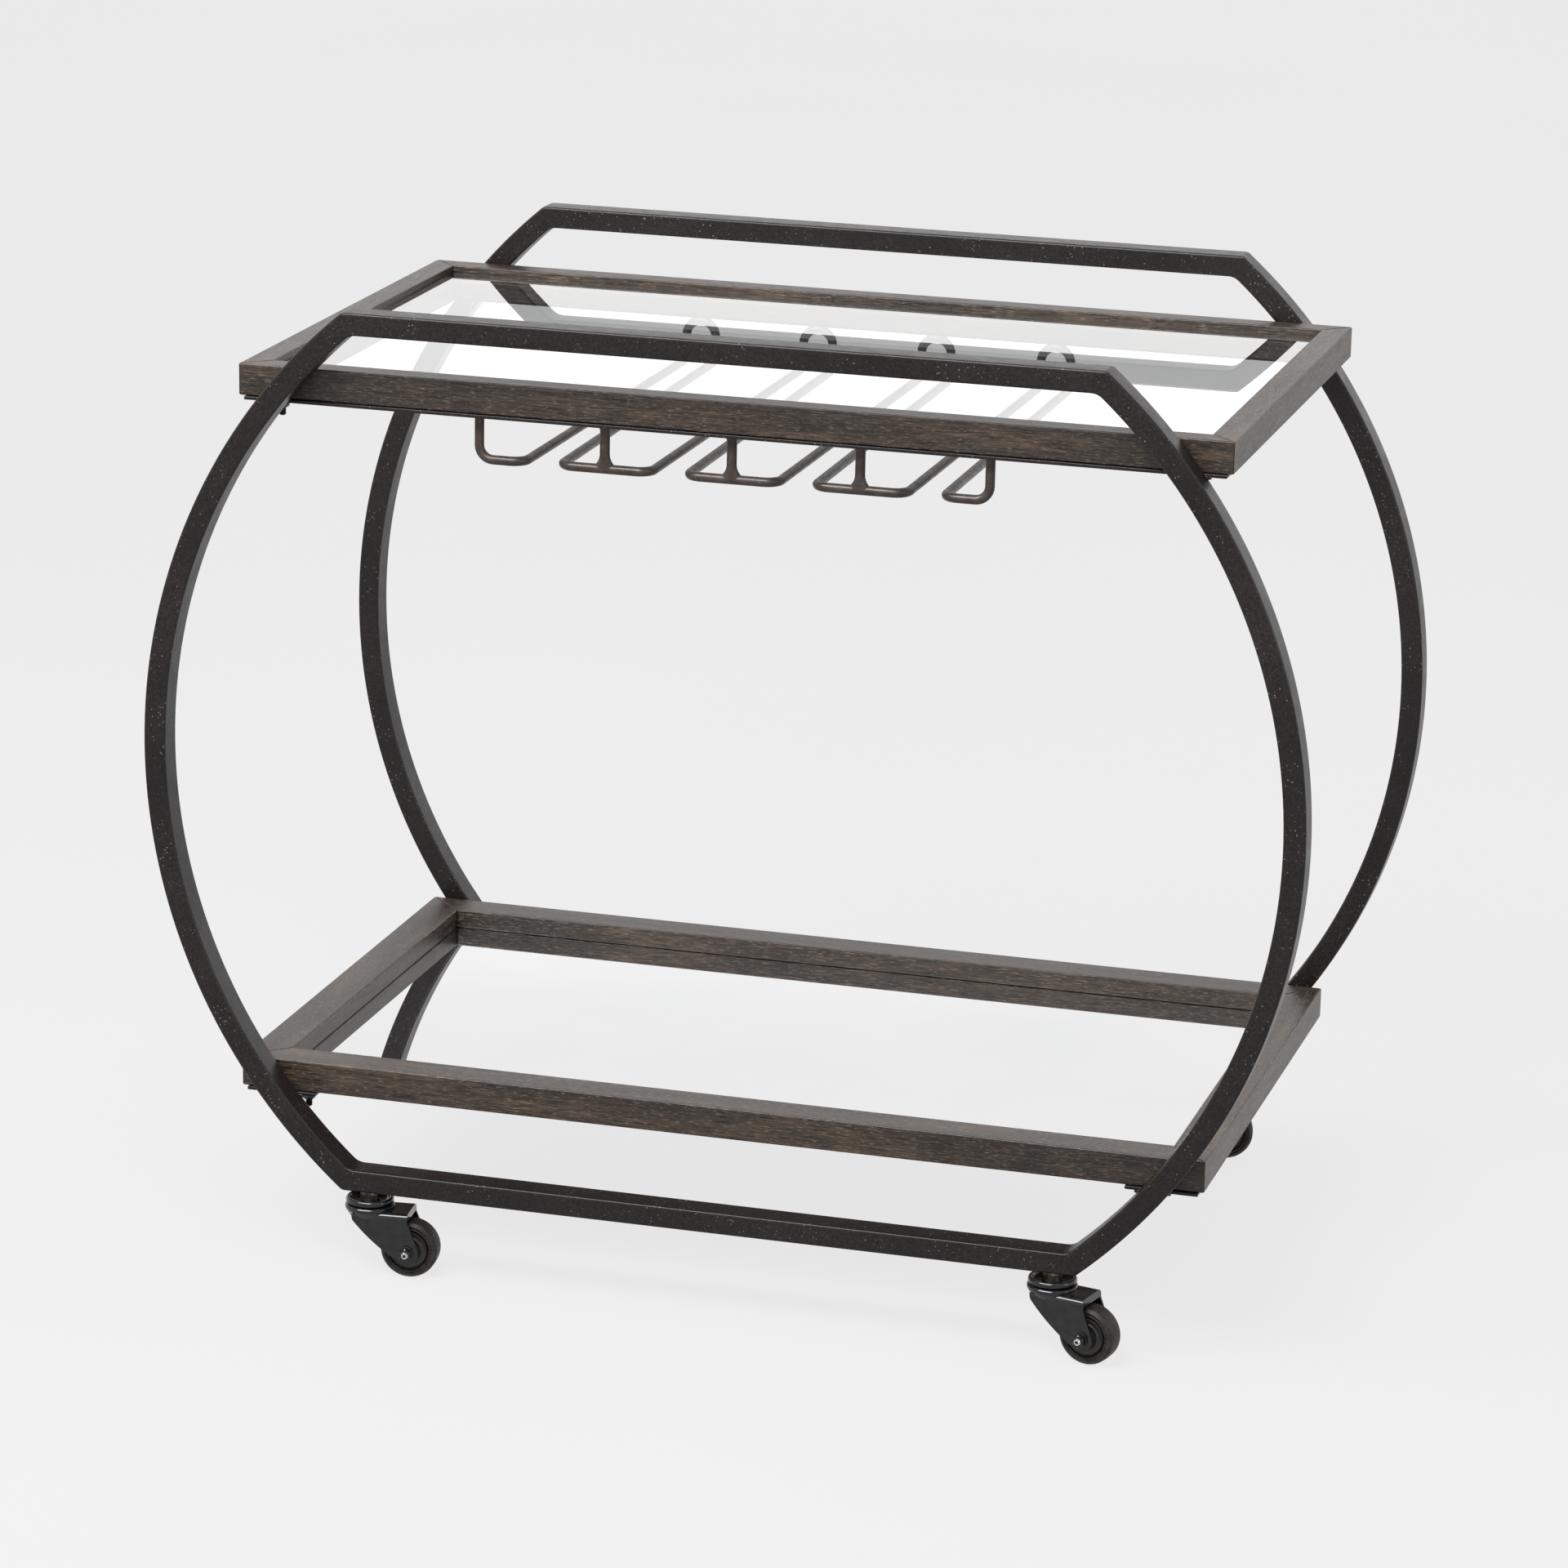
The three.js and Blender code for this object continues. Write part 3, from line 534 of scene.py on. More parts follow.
def block(low, high):
    """The vertices and faces of a box between two corners."""
    outline = [(low[0], low[1]), (high[0], low[1]), (high[0], high[1]), (low[0], high[1])]
    return prism(outline, low[2], high[2])


def circle(sides, radius):
    """Points (x, y) round a circle."""
    return [(radius * math.cos(angle), radius * math.sin(angle)) for angle in angles_round(sides)]


def round_rod(path, radius, sides=20):
    """Rings of a round section carried along a path without twist."""
    tangents = []
    for i, point in enumerate(path):
        before = path[max(i - 1, 0)]
        after = path[min(i + 1, len(path) - 1)]
        bisector = (after - point).normalized() + (point - before).normalized()
        tangents.append(bisector.normalized())
    side = tangents[0].orthogonal().normalized()
    rings = []
    for i, point in enumerate(path):
        if i:
            side = tangents[i - 1].rotation_difference(tangents[i]) @ side
        across = tangents[i].cross(side).normalized()
        rings.append([
            point + radius * (math.cos(angle) * side + math.sin(angle) * across)
            for angle in angles_round(sides)
        ])
    return rings


def filleted_path(corners, steps=8):
    """A path through corners (x, y, z, bend radius), with square corners turned as arcs."""
    points = [Vector(corner[:3]) for corner in corners]
    path = [points[0]]
    for i in range(1, len(points) - 1):
        radius = corners[i][3]
        inward = (points[i - 1] - points[i]).normalized() * radius
        onward = (points[i + 1] - points[i]).normalized() * radius
        for step in range(steps + 1):
            angle = step / steps * math.pi / 2
            path.append(points[i] + inward * (1 - math.sin(angle)) + onward * (1 - math.cos(angle)))
    path.append(points[-1])
    apart = [path[0]]
    for point in path[1:]:
        if (point - apart[-1]).length > SHORTEST_STEP:
            apart.append(point)
    return apart


def joined(*parts):
    """Several closed shells as the vertices and faces of one mesh."""
    vertices = []
    faces = []
    for part_vertices, part_faces in parts:
        first = len(vertices)
        vertices += part_vertices
        faces += [tuple(first + corner for corner in face) for face in part_faces]
    return vertices, faces


def boolean(mesh, tool, operation):
    """The mesh cut by, joined to or kept inside a tool mesh."""
    body = bpy.data.objects.new("boolean_body", mesh)
    other = bpy.data.objects.new("boolean_tool", tool)
    for item in (body, other):
        bpy.context.scene.collection.objects.link(item)
    modifier = body.modifiers.new("boolean", "BOOLEAN")
    modifier.operation = operation
    modifier.solver = "EXACT"
    modifier.object = other
    depsgraph = bpy.context.evaluated_depsgraph_get()
    result = bpy.data.meshes.new_from_object(body.evaluated_get(depsgraph))
    bpy.data.objects.remove(body)
    bpy.data.objects.remove(other)
    return result


# ------------------------------------------------------------------ side frames


def frame_loop(radius, rise, ease, arc_steps=72, corner_steps=6, flat_steps=10):
    """Points (x, z) round a circle cut flat at top and bottom, its corners eased by a length."""
    corner_x = math.sqrt(radius**2 - rise**2)
    arc_end = math.asin(rise / radius) - ease / radius
    points = []
    for side in (1, -1):
        for step in range(arc_steps + 1):
            angle = arc_end * (2 * step / arc_steps - 1)
            points.append(side * radius * Vector((math.cos(angle), math.sin(angle))))
        near = Vector((side * corner_x, side * rise))
        far = Vector((-side * corner_x, side * rise))
        flat_start = near - Vector((side * ease, 0))
        flat_end = far + Vector((side * ease, 0))
        next_arc = -side * radius * Vector((math.cos(arc_end), -math.sin(arc_end)))
        points += curve_between(points[-1], near, flat_start, corner_steps)
        points += [flat_start.lerp(flat_end, step / flat_steps) for step in range(flat_steps + 1)]
        points += curve_between(flat_end, far, next_arc, corner_steps)
    return points


def side_frame(name, near_y, far_y):
    """One welded ring of rectangular tube, with its arrises rounded and its corners dressed."""
    outside = frame_loop(CIRCLE_RADIUS, FLAT_RISE, OUTER_CORNER_EASE)
    inside = frame_loop(CIRCLE_RADIUS - TUBE_FACE, FLAT_RISE - TUBE_FACE, INNER_CORNER_EASE)
    rings = []
    for outer, inner in zip(outside, inside):
        across = (inner - outer).length
        section = softened([(0, near_y), (across, near_y), (across, far_y), (0, far_y)], TUBE_ARRIS, 3)
        direction = (inner - outer).normalized()
        ring = []
        for depth, y in section:
            point = outer + direction * depth
            ring.append((point.x, y, point.y + CIRCLE_CENTRE_Z))
        rings.append(ring)
    return make_mesh(name, *skin(rings, closed=True), POWDER_COAT)


for side in ("front", "rear"):
    low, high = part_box(f"{side}_frame_right_bow")
    nodes = [f"{side}_frame_{part}" for part in ("right_bow", "left_bow", "top_rail", "bottom_rail")]
    ring = side_frame(f"{side}_frame", low.y, high.y)
    place(f"{side}_frame", ring, "cart", "frame_steel", nodes, weighted=True)


# ------------------------------------------------------------------ trays


TOP_SECTION = [
    (0, 0), (RAIL_WIDTH, 0), (RAIL_WIDTH, LEDGE_HEIGHT),
    (RAIL_WIDTH - REBATE, LEDGE_HEIGHT), (RAIL_WIDTH - REBATE, TRAY_THICKNESS), (0, TRAY_THICKNESS),
]
LOWER_SECTION = [
    (0, 0), (RAIL_WIDTH - REBATE, 0), (RAIL_WIDTH - REBATE, LIP_HEIGHT),
    (RAIL_WIDTH, LIP_HEIGHT), (RAIL_WIDTH, TRAY_THICKNESS), (0, TRAY_THICKNESS),
]


def rail(name, section, length, reach, underside, turn, material):
    """A rail mitred at both ends, drawn along X with its outer face at y = -reach, then turned."""
    rings = []
    for end in (-1, 1):
        rings.append([
            (end * (length / 2 - MITRE_GAP - inward), inward - reach, underside + height)
            for inward, height in section
        ])
    mesh = make_mesh(name, *skin(rings, closed=False), material)
    bevelled(mesh, RAIL_ARRIS, 3)
    mesh.transform(Matrix.Rotation(turn, 4, "Z"))
    return mesh


for tray, section in (("top_tray", TOP_SECTION), ("lower_tray", LOWER_SECTION)):
    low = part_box(f"{tray}_front_rail")[0]
    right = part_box(f"{tray}_right_rail")[1].x
    front = -low.y
    for side, length, reach, turn, material in (
        ("front", 2 * right, front, 0, WOOD_ALONG_X),
        ("right", 2 * front, right, math.pi / 2, WOOD_ALONG_Y),
        ("rear", 2 * right, front, math.pi, WOOD_ALONG_X),
        ("left", 2 * front, right, -math.pi / 2, WOOD_ALONG_Y),
    ):
        name = f"{tray}_{side}_timber"
        mesh = rail(name, section, length, reach, low.z, turn, material)
        place(name, mesh, "cart", "wood", [f"{tray}_{side}_rail"], weighted=True)

for node, name, material, slot in (
    ("top_glass", "glass_pane", CLEAR_GLASS, "glass"),
    ("lower_mirror", "mirror_pane", MIRROR_SILVER, "mirror"),
    ("mirror_backing", "backing_board", HARDBOARD, "backing_board"),
):
    pane = make_mesh(name, *block(*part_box(node)), material)
    place(name, bevelled(pane, PANE_ARRIS), "cart", slot, [node], weighted=True)


# ------------------------------------------------------------------ straps, welds and studs


def strap(name, node):
    """A flat steel strap or bracket with eased arrises, in place of one CAD node."""
    mesh = make_mesh(name, *block(*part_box(node)), POWDER_COAT)
    place(name, bevelled(mesh, STRAP_ARRIS), "cart", "frame_steel", [node], weighted=True)


def weld_bead(name, start, end, radius, seed, steps=26, sides=12):
    """An uneven run of weld between two points, thinning out at both ends."""
    rings = []
    for i in range(steps + 1):
        t = i / steps
        centre = Vector(start).lerp(Vector(end), t)
        taper = math.sin(math.pi * min(max(t, 0.02), 0.98)) ** 0.3
        ripples = 0.12 * math.sin(t * 40 + seed)
        lumps = 0.15 * noise.noise((t * 9, seed, 0.0))
        size = radius * taper * (1 + ripples + lumps)
        rings.append([
            (centre.x, centre.y + size * math.cos(angle), centre.z + size * math.sin(angle))
            for angle in angles_round(sides)
        ])
    mesh = make_mesh(name, *skin(rings, closed=False), POWDER_COAT, WELD_SMOOTH)
    place(name, mesh, "cart", "frame_steel")


def bow_crossing(z):
    """Where the bow's outer and inner faces are at a height, as distances from the middle."""
    rise = z - CIRCLE_CENTRE_Z
    inner = CIRCLE_RADIUS - TUBE_FACE
    return math.sqrt(inner**2 - rise**2), math.sqrt(CIRCLE_RADIUS**2 - rise**2)


for depth, depth_sign in (("front", -1), ("rear", 1)):
    strap(f"{depth}_strap", f"{depth}_support_strap")
    for side, side_sign in (("left", -1), ("right", 1)):
        strap(f"lower_{depth}_{side}_strap", f"lower_bracket_{depth}_{side}")
        levels = (("top", f"{depth}_support_strap"), ("lower", f"lower_bracket_{depth}_{side}"))
        for seed, (level, node) in enumerate(levels):
            low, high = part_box(node)
            joint_y = low.y if depth_sign < 0 else high.y
            inner_x, outer_x = bow_crossing(low.z)
            weld_bead(
                f"{level}_{depth}_{side}_weld",
                (side_sign * (inner_x - WELD_INNER_OVERRUN), joint_y, low.z),
                (side_sign * (outer_x + WELD_OUTER_OVERRUN), joint_y, low.z),
                WELD_RADIUS,
                seed + 3 * side_sign + 5 * depth_sign,
            )


def thread_profile(radius, start, end, pitch=0.0010, depth=0.00028, crest=(0.35, 0.6)):
    """(radius, height) points of a threaded length as close rings; crest is in shares of the pitch."""
    turns = round((end - start) / pitch)
    step = (end - start) / turns
    points = []
    for turn in range(turns):
        root = start + step * turn
        points.append((radius - depth, root))
        points += [(radius, root + step * share) for share in crest]
    points.append((radius - depth, end))
    return points


def hex_nut(across_flats, bottom, top, chamfer=0.0005, steps=48):
    """A hexagon with both faces turned down at their corners."""
    corner = across_flats / math.sqrt(3)
    face = across_flats / 2 * 0.97
    rings = []
    for z, limit in ((bottom, face), (bottom + chamfer, corner), (top - chamfer, corner), (top, face)):
        ring = []
        for angle in angles_round(steps):
            from_flat = (angle + math.pi / 6) % (math.pi / 3) - math.pi / 6
            reach = min(limit, across_flats / 2 / math.cos(from_flat))
            ring.append((reach * math.cos(angle), reach * math.sin(angle), z))
        rings.append(ring)
    return skin(rings, closed=False)


def washer(bore, rim, bottom, top, segments):
    """A flat ring with its corners eased."""
    ease = 0.0003
    section = [(bore, bottom), (rim, bottom), (rim, top), (bore, top)]
    return lathed(softened(section, ease, 2), segments)


def stud_mesh():
    """Washer, nut and threaded tip below the strap's underside at z = 0."""
    tip = -0.0135
    nut_bottom = -0.0065
    washer_bottom = -0.0015
    shank_top = nut_bottom + 0.001
    thread = thread_profile(STUD_RADIUS, tip + 0.0006, shank_top)
    shank = lathed([(0, tip), (STUD_RADIUS - 0.0008, tip), *thread, (0, shank_top)], 32, closed=False)
    nut = hex_nut(NUT_ACROSS_FLATS, nut_bottom, washer_bottom)
    ring = washer(STUD_RADIUS - 0.0002, 0.0062, washer_bottom, -0.0003, PIN_SEGMENTS)
    return make_mesh("stud", *joined(shank, nut, ring), GLOSS_BLACK, PIN_SMOOTH)


STUD = stud_mesh()
for tray, strap_pattern in (("top", "{depth}_support_strap"), ("lower", "lower_bracket_{depth}_{side}")):
    for depth in ("front", "rear"):
        for side in ("left", "right"):
            node = f"{tray}_stud_{depth}_{side}"
            low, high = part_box(node)
            strap_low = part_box(strap_pattern.format(depth=depth, side=side))[0]
            centre = (low + high) / 2
            spot = Matrix.Translation((centre.x, centre.y, strap_low.z))
            place(f"{node}_nut", STUD, "cart", "frame_steel", [node], spot)


# ------------------------------------------------------------------ stemware rack


def rack_path():
    """The rack's one long rod: down from the strap, round every slot, and up to the strap again."""
    hanger_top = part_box("front_support_strap")[0].z
    reach = SLOT_PITCH * SLOT_COUNT / 2
    arch_radius = SLOT_REAR_WIDTH / 2
    corners = [
        (RACK_CENTRE_X - reach, RACK_FRONT_Y, hanger_top, 0),
        (RACK_CENTRE_X - reach, RACK_FRONT_Y, ROD_Z, ROD_BEND),
    ]
    for slot in range(SLOT_COUNT):
        centre = RACK_CENTRE_X + (slot - (SLOT_COUNT - 1) / 2) * SLOT_PITCH
        for side in (-1, 1):
            front_x = centre + side * SLOT_FRONT_WIDTH / 2
            rear_x = centre + side * SLOT_REAR_WIDTH / 2
            arm = [
                (front_x, RACK_FRONT_Y, ROD_Z, ROD_BEND),
                (rear_x, RACK_REAR_Y, ROD_Z, ROD_BEND),
                (rear_x, RACK_REAR_Y, ARCH_TOP_Z, arch_radius),
            ]
            corners += arm if side < 0 else arm[::-1]
    corners += [
        (RACK_CENTRE_X + reach, RACK_FRONT_Y, ROD_Z, ROD_BEND),
        (RACK_CENTRE_X + reach, RACK_FRONT_Y, hanger_top, 0),
    ]
    return filleted_path(corners)


def hanger(x, top, steps=40, sides=24):
    """A middle hanger with its welds flared out at the crossbar and at the strap."""
    neck = ROD_RADIUS * 1.04
    foot_weld = 0.013
    head_weld = 0.005
    height = top - ROD_Z
    rings = []
    for i in range(steps + 1):
        t = i / steps
        foot = max(0.0, 1 - t * height / foot_weld) ** 2.2
        head = max(0.0, 1 - (1 - t) * height / head_weld) ** 1.6
        along = neck + 0.0080 * foot + 0.0030 * head
        deep = neck + 0.0001 * foot + 0.0026 * head
        ring = []
        for angle in angles_round(sides):
            lump = 1 + 0.05 * (foot + head) * noise.noise((x * 90, t * 14, angle))
            ring.append((
                x + along * lump * math.cos(angle),
                RACK_FRONT_Y + deep * lump * math.sin(angle),
                ROD_Z + t * height,
            ))
        rings.append(ring)
    return skin(rings, closed=False)


rack_nodes = ["rack_left_end", "rack_right_end", "rack_loop_1", "rack_loop_2", "rack_loop_3"]
rod = make_mesh("stemware_rod", *skin(round_rod(rack_path(), ROD_RADIUS), closed=False), ROD_LACQUER)
place("stemware_rod", rod, "cart", "rack_rod", rack_nodes)
strap_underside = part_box("front_support_strap")[0].z
for number in range(1, SLOT_COUNT):
    hanger_x = RACK_CENTRE_X + (number - SLOT_COUNT / 2) * SLOT_PITCH
    mesh = make_mesh(f"rack_hanger_{number}", *hanger(hanger_x, strap_underside), ROD_LACQUER, WELD_SMOOTH)
    place(f"rack_hanger_{number}", mesh, "cart", "rack_rod")


# ------------------------------------------------------------------ casters


def fork_silhouette(arc_steps=24):
    """The fork from the side, as (x, z): a rounded heel, a full leading edge and a round end."""
    axle = Vector((CASTER_TRAIL, AXLE_HEIGHT))
    top = FORK_TOP_Z + 0.001
    tail_x = FORK_TAIL_X + 0.0001
    heel = Vector((FORK_HEEL_X + 0.0010, FORK_TOP_Z - 0.0075))
    arc_start = math.radians(226)
    arc_end = math.radians(383)
    round_end = []
    for step in range(arc_steps + 1):
        angle = arc_start + (arc_end - arc_start) * step / arc_steps
        round_end.append(axle + FORK_END_RADIUS * Vector((math.cos(angle), math.sin(angle))))
    edge = round_end[0] - heel
    belly = heel + edge / 2 - Vector((-edge.y, edge.x)).normalized() * 0.0045
    return [
        Vector((FORK_HEEL_X, top)), Vector((FORK_HEEL_X, FORK_TOP_Z - 0.0025)), heel,
        *curve_between(heel, belly, round_end[0]), *round_end,
        Vector((tail_x, FORK_TOP_Z - LIP_DROP)), Vector((tail_x, top)),
    ]


def fork_arch(offset, bend_steps=8):
    """(y, z) points over the fork's folded top, in from its outside by an offset."""
    radius = FORK_BEND - offset
    points = []
    for half in (-1, 1):
        for step in range(bend_steps + 1):
            angle = math.pi / 2 * step / bend_steps
            turn = angle if half < 0 else math.pi / 2 - angle
            y = half * (FORK_HALF_WIDTH - FORK_BEND + radius * math.cos(turn))
            points.append((y, FORK_TOP_Z - FORK_BEND + radius * math.sin(turn)))
    return points


def drawn_along_x(name, section, ends):
    """A (y, z) section carried along X between two ends, as one black plate."""
    rings = [[(x, y, z) for y, z in section] for x in ends]
    return make_mesh(name, *skin(rings, closed=False), GLOSS_BLACK)


def bent_sheet():
    """The fork's folded sheet: an inverted U from end to end, cut to the fork's silhouette."""
    low = AXLE_HEIGHT - FORK_END_RADIUS - 0.001
    side = FORK_HALF_WIDTH - FORK_METAL
    outer = [(-FORK_HALF_WIDTH, low), *fork_arch(0), (FORK_HALF_WIDTH, low)]
    inner = [(side, low), *fork_arch(FORK_METAL)[::-1], (-side, low)]
    past_both_ends = (-0.020, 0.055)
    past_both_sides = (-0.022, 0.022)
    sheet = drawn_along_x("fork_sheet", outer + inner, past_both_ends)
    outline = fork_silhouette()
    slab = [[(point.x, y, point.y) for point in outline] for y in past_both_sides]
    knife = make_mesh("fork_knife", *skin(slab, closed=False), GLOSS_BLACK)
    return boolean(sheet, knife, "INTERSECT")


def fork_mesh():
    """The pressed fork: folded sheet, turned-down tail and axle holes, with soft arrises."""
    bottom = FORK_TOP_Z - LIP_DROP
    inset = 0.0001
    hole_reach = 0.03
    half = FORK_HALF_WIDTH - inset
    outline = [(-half, bottom), *fork_arch(inset), (half, bottom)]
    lip = drawn_along_x("fork_lip", outline, (FORK_TAIL_X - FORK_METAL, FORK_TAIL_X))
    bore = prism(circle(PIN_SEGMENTS, BORE_RADIUS), -hole_reach, hole_reach)
    hole = make_mesh("fork_bore", *bore, GLOSS_BLACK)
    on_axle = Matrix.Translation((CASTER_TRAIL, 0, AXLE_HEIGHT))
    hole.transform(on_axle @ Matrix.Rotation(math.pi / 2, 4, "X"))
    whole = boolean(boolean(bent_sheet(), lip, "UNION"), hole, "DIFFERENCE")
    bevelled(whole, FORK_ARRIS, 2, 40)
    whole.name = "caster_fork"
    return whole


def bearing_ring_mesh():
    """The fork's dished head: a pressed bowl with a rolled ring on it."""
    bore = 0.0060
    bowl_z = FORK_TOP_Z - 0.0085
    section = [
        (bore, FORK_TOP_Z - 0.0022), (0.0150, FORK_TOP_Z - 0.0030), (0.0148, bowl_z), (0.0162, bowl_z),
        (0.0192, FORK_TOP_Z - 0.0040), (HEAD_RADIUS - 0.0002, FORK_TOP_Z - 0.0004),
        (HEAD_RADIUS, FORK_TOP_Z + 0.0012), (HEAD_RADIUS, HEAD_RING_TOP_Z - 0.0014),
        (HEAD_RADIUS - 0.0012, HEAD_RING_TOP_Z), (bore, HEAD_RING_TOP_Z),
    ]
    profile = softened(section, 0.0011, 5)
    return make_mesh("bearing_ring", *lathed(profile, HEAD_SEGMENTS), GLOSS_BLACK)


def cap_mesh():
    """The bearing cap: a rolled rim round a shallow dish, and the groove under it."""
    bore = 0.0040
    rim = HEAD_RADIUS - 0.0008
    underside = HEAD_RING_TOP_Z + 0.0003
    section = [
        (bore, underside), (rim - 0.0018, underside), (rim - 0.0010, underside + 0.0009),
        (rim, underside + 0.0017), (rim, CAP_RIM_Z - 0.0016), (rim - 0.0012, CAP_RIM_Z),
        (rim - 0.0030, CAP_RIM_Z), (rim - 0.0046, CAP_FLOOR_Z + 0.0010),
        (rim - 0.0072, CAP_FLOOR_Z), (bore, CAP_FLOOR_Z),
    ]
    profile = softened(section, 0.0009, 5)
    return make_mesh("bearing_cap", *lathed(profile, HEAD_SEGMENTS), GLOSS_BLACK)


def stem_mesh(rail_z):
    """The riveted kingpin and the threaded stem up into the rail."""
    sheet_underside = FORK_TOP_Z - FORK_METAL
    rivet = sheet_underside - 0.0040
    rivet_radius = STEM_RADIUS + 0.0025
    top = rail_z + 0.013
    profile = [
        (0, rivet), (rivet_radius - 0.0010, rivet), (rivet_radius, rivet + 0.0010),
        (rivet_radius, sheet_underside - 0.0003), (STEM_RADIUS, sheet_underside - 0.0003),
        (STEM_RADIUS, CAP_FLOOR_Z),
        *thread_profile(STEM_RADIUS, CAP_FLOOR_Z + 0.002, top, 0.0012),
        (0, top),
    ]
    return make_mesh("caster_stem", *lathed(profile, PIN_SEGMENTS, closed=False), ZINC, PIN_SMOOTH)


def hexagon_mesh(rail_z):
    """The hexagon that stands in the cap's dish and tightens the stem against the rail."""
    hexagon = hex_nut(0.015, CAP_FLOOR_Z - 0.0002, rail_z - 0.0002, 0.0006)
    return make_mesh("stem_hexagon", *hexagon, DARK_PASSIVATE, PIN_SMOOTH)


def bolt_mesh():
    """Axle bolt along Z with its socketed end at the bottom and its head at the top."""
    seat = FORK_HALF_WIDTH + 0.0003
    end = -seat - 0.0068
    face = seat + 0.0040
    profile = [
        (0, end + 0.0022), (0.0013, end + 0.0022), (0.0015, end), (0.0025, end),
        *thread_profile(AXLE_RADIUS, end + 0.0006, -seat),
        (AXLE_RADIUS, -seat), (AXLE_RADIUS, seat), (0.0052, seat), (0.0056, seat + 0.0010),
        (0.0052, face - 0.0008), (0.0038, face), (0, face),
    ]
    return make_mesh("axle_bolt", *lathed(profile, PIN_SEGMENTS, closed=False), ZINC, PIN_SMOOTH)


def nut_mesh():
    """The axle's nut and washer against the fork, below the middle."""
    seat = -FORK_HALF_WIDTH - 0.0002
    washer_face = seat - 0.0010
    ring = washer(AXLE_RADIUS, 0.0066, washer_face, seat, 48)
    hexagon = hex_nut(NUT_ACROSS_FLATS, washer_face - 0.0042, washer_face, 0.0006)
    return make_mesh("axle_nut", *joined(ring, hexagon), GLOSS_BLACK, PIN_SMOOTH)


def tyre_mesh():
    """The tread: a slight crown, round shoulders and a moulded ring on each side."""
    wide = WHEEL_HALF_WIDTH
    half = [
        (HUB_RADIUS, wide - 0.0030),
        (HUB_RADIUS + 0.0009, wide - 0.0030), (HUB_RADIUS + 0.0010, wide - 0.0008),
        (HUB_RADIUS + 0.0022, wide - 0.0004), (HUB_RADIUS + 0.0026, wide - 0.0010),
        (HUB_RADIUS + 0.0032, wide - 0.0010), (HUB_RADIUS + 0.0036, wide - 0.0002),
        (WHEEL_RADIUS - 0.0030, wide), (WHEEL_RADIUS - 0.0003, wide - 0.0030),
    ]
    other_half = [(r, -z) for r, z in reversed(half)]
    profile = softened([*half, (WHEEL_RADIUS, 0), *other_half], 0.0009)
    return make_mesh("wheel_tyre", *lathed(profile, WHEEL_SEGMENTS), TYRE_RUBBER, WHEEL_SMOOTH)


def hub_mesh():
    """The wheel's centre: a boss, a flat disc with a raised ring, and a groove inside the tread."""
    wide = WHEEL_HALF_WIDTH
    rim = HUB_RADIUS - 0.0003
    boss = FORK_HALF_WIDTH - FORK_METAL - 0.0004
    half = [
        (BORE_RADIUS, boss), (0.0064, boss), (0.0072, wide - 0.0012), (0.0098, wide - 0.0014),
        (0.0104, wide - 0.0004), (0.0117, wide - 0.0004), (0.0123, wide - 0.0014),
        (rim - 0.0014, wide - 0.0012), (rim - 0.0009, wide - 0.0006), (rim, wide - 0.0024),
    ]
    other_half = [(r, -z) for r, z in reversed(half)]
    profile = softened(half + other_half, 0.0004, 3)
    return make_mesh("wheel_hub", *lathed(profile, WHEEL_SEGMENTS), HUB_PLASTIC, WHEEL_SMOOTH)


joints = {joint["name"]: joint for joint in frame["joints"]}
rail_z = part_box("front_frame_bottom_rail")[0].z
FORK = fork_mesh()
RING = bearing_ring_mesh()
CAP = cap_mesh()
STEM = stem_mesh(rail_z)
HEXAGON = hexagon_mesh(rail_z)
BOLT = bolt_mesh()
NUT = nut_mesh()
TYRE = tyre_mesh()
HUB = hub_mesh()

for name in CASTERS:
    swivel = Vector(joints[f"{name}_swivel_turn"]["pos_m"])
    axle = Vector(joints[f"{name}_wheel_roll"]["pos_m"])
    trail = math.atan2(axle.y - swivel.y, axle.x - swivel.x)
    turned = Matrix.Translation((swivel.x, swivel.y, 0)) @ Matrix.Rotation(trail, 4, "Z")
    outward = 1 if swivel.y > 0 else -1
    wheel = turned @ Matrix.Translation((CASTER_TRAIL, 0, AXLE_HEIGHT))
    on_axle = wheel @ Matrix.Rotation(math.pi / 2 * outward, 4, "X")
    fork_node = f"{name}_caster_fork"
    place(f"{name}_stem", STEM, "cart", "caster_steel", [f"{name}_caster_stem"], turned)
    place(f"{name}_hexagon", HEXAGON, "cart", "caster_steel", (), turned)
    place(f"{name}_cap", CAP, "cart", "caster_steel", (), turned)
    place(f"{name}_fork", FORK, f"{name}_swivel", "caster_steel", [fork_node], turned, weighted=True)
    place(f"{name}_ring", RING, f"{name}_swivel", "caster_steel", (), turned)
    place(f"{name}_bolt", BOLT, f"{name}_swivel", "zinc_plate", [f"{name}_caster_axle"], on_axle)
    place(f"{name}_nut", NUT, f"{name}_swivel", "caster_steel", (), on_axle)
    place(f"{name}_tyre", TYRE, f"{name}_wheel", "tyre", [f"{name}_wheel_tyre"], on_axle)
    place(f"{name}_hub", HUB, f"{name}_wheel", "hub", [f"{name}_wheel_hub"], on_axle)


# ------------------------------------------------------------------ floor, light and camera


FLOOR_REACH = 40
FLOOR_THICKNESS = 0.02
FLOOR_GLOW = 0.775
FLOOR_WHITENESS = 0.04
BACKDROP = 1.38
BACKDROP_TOP = 0.24
MID_SKY = 0.96
MID_SKY_START = 0.31


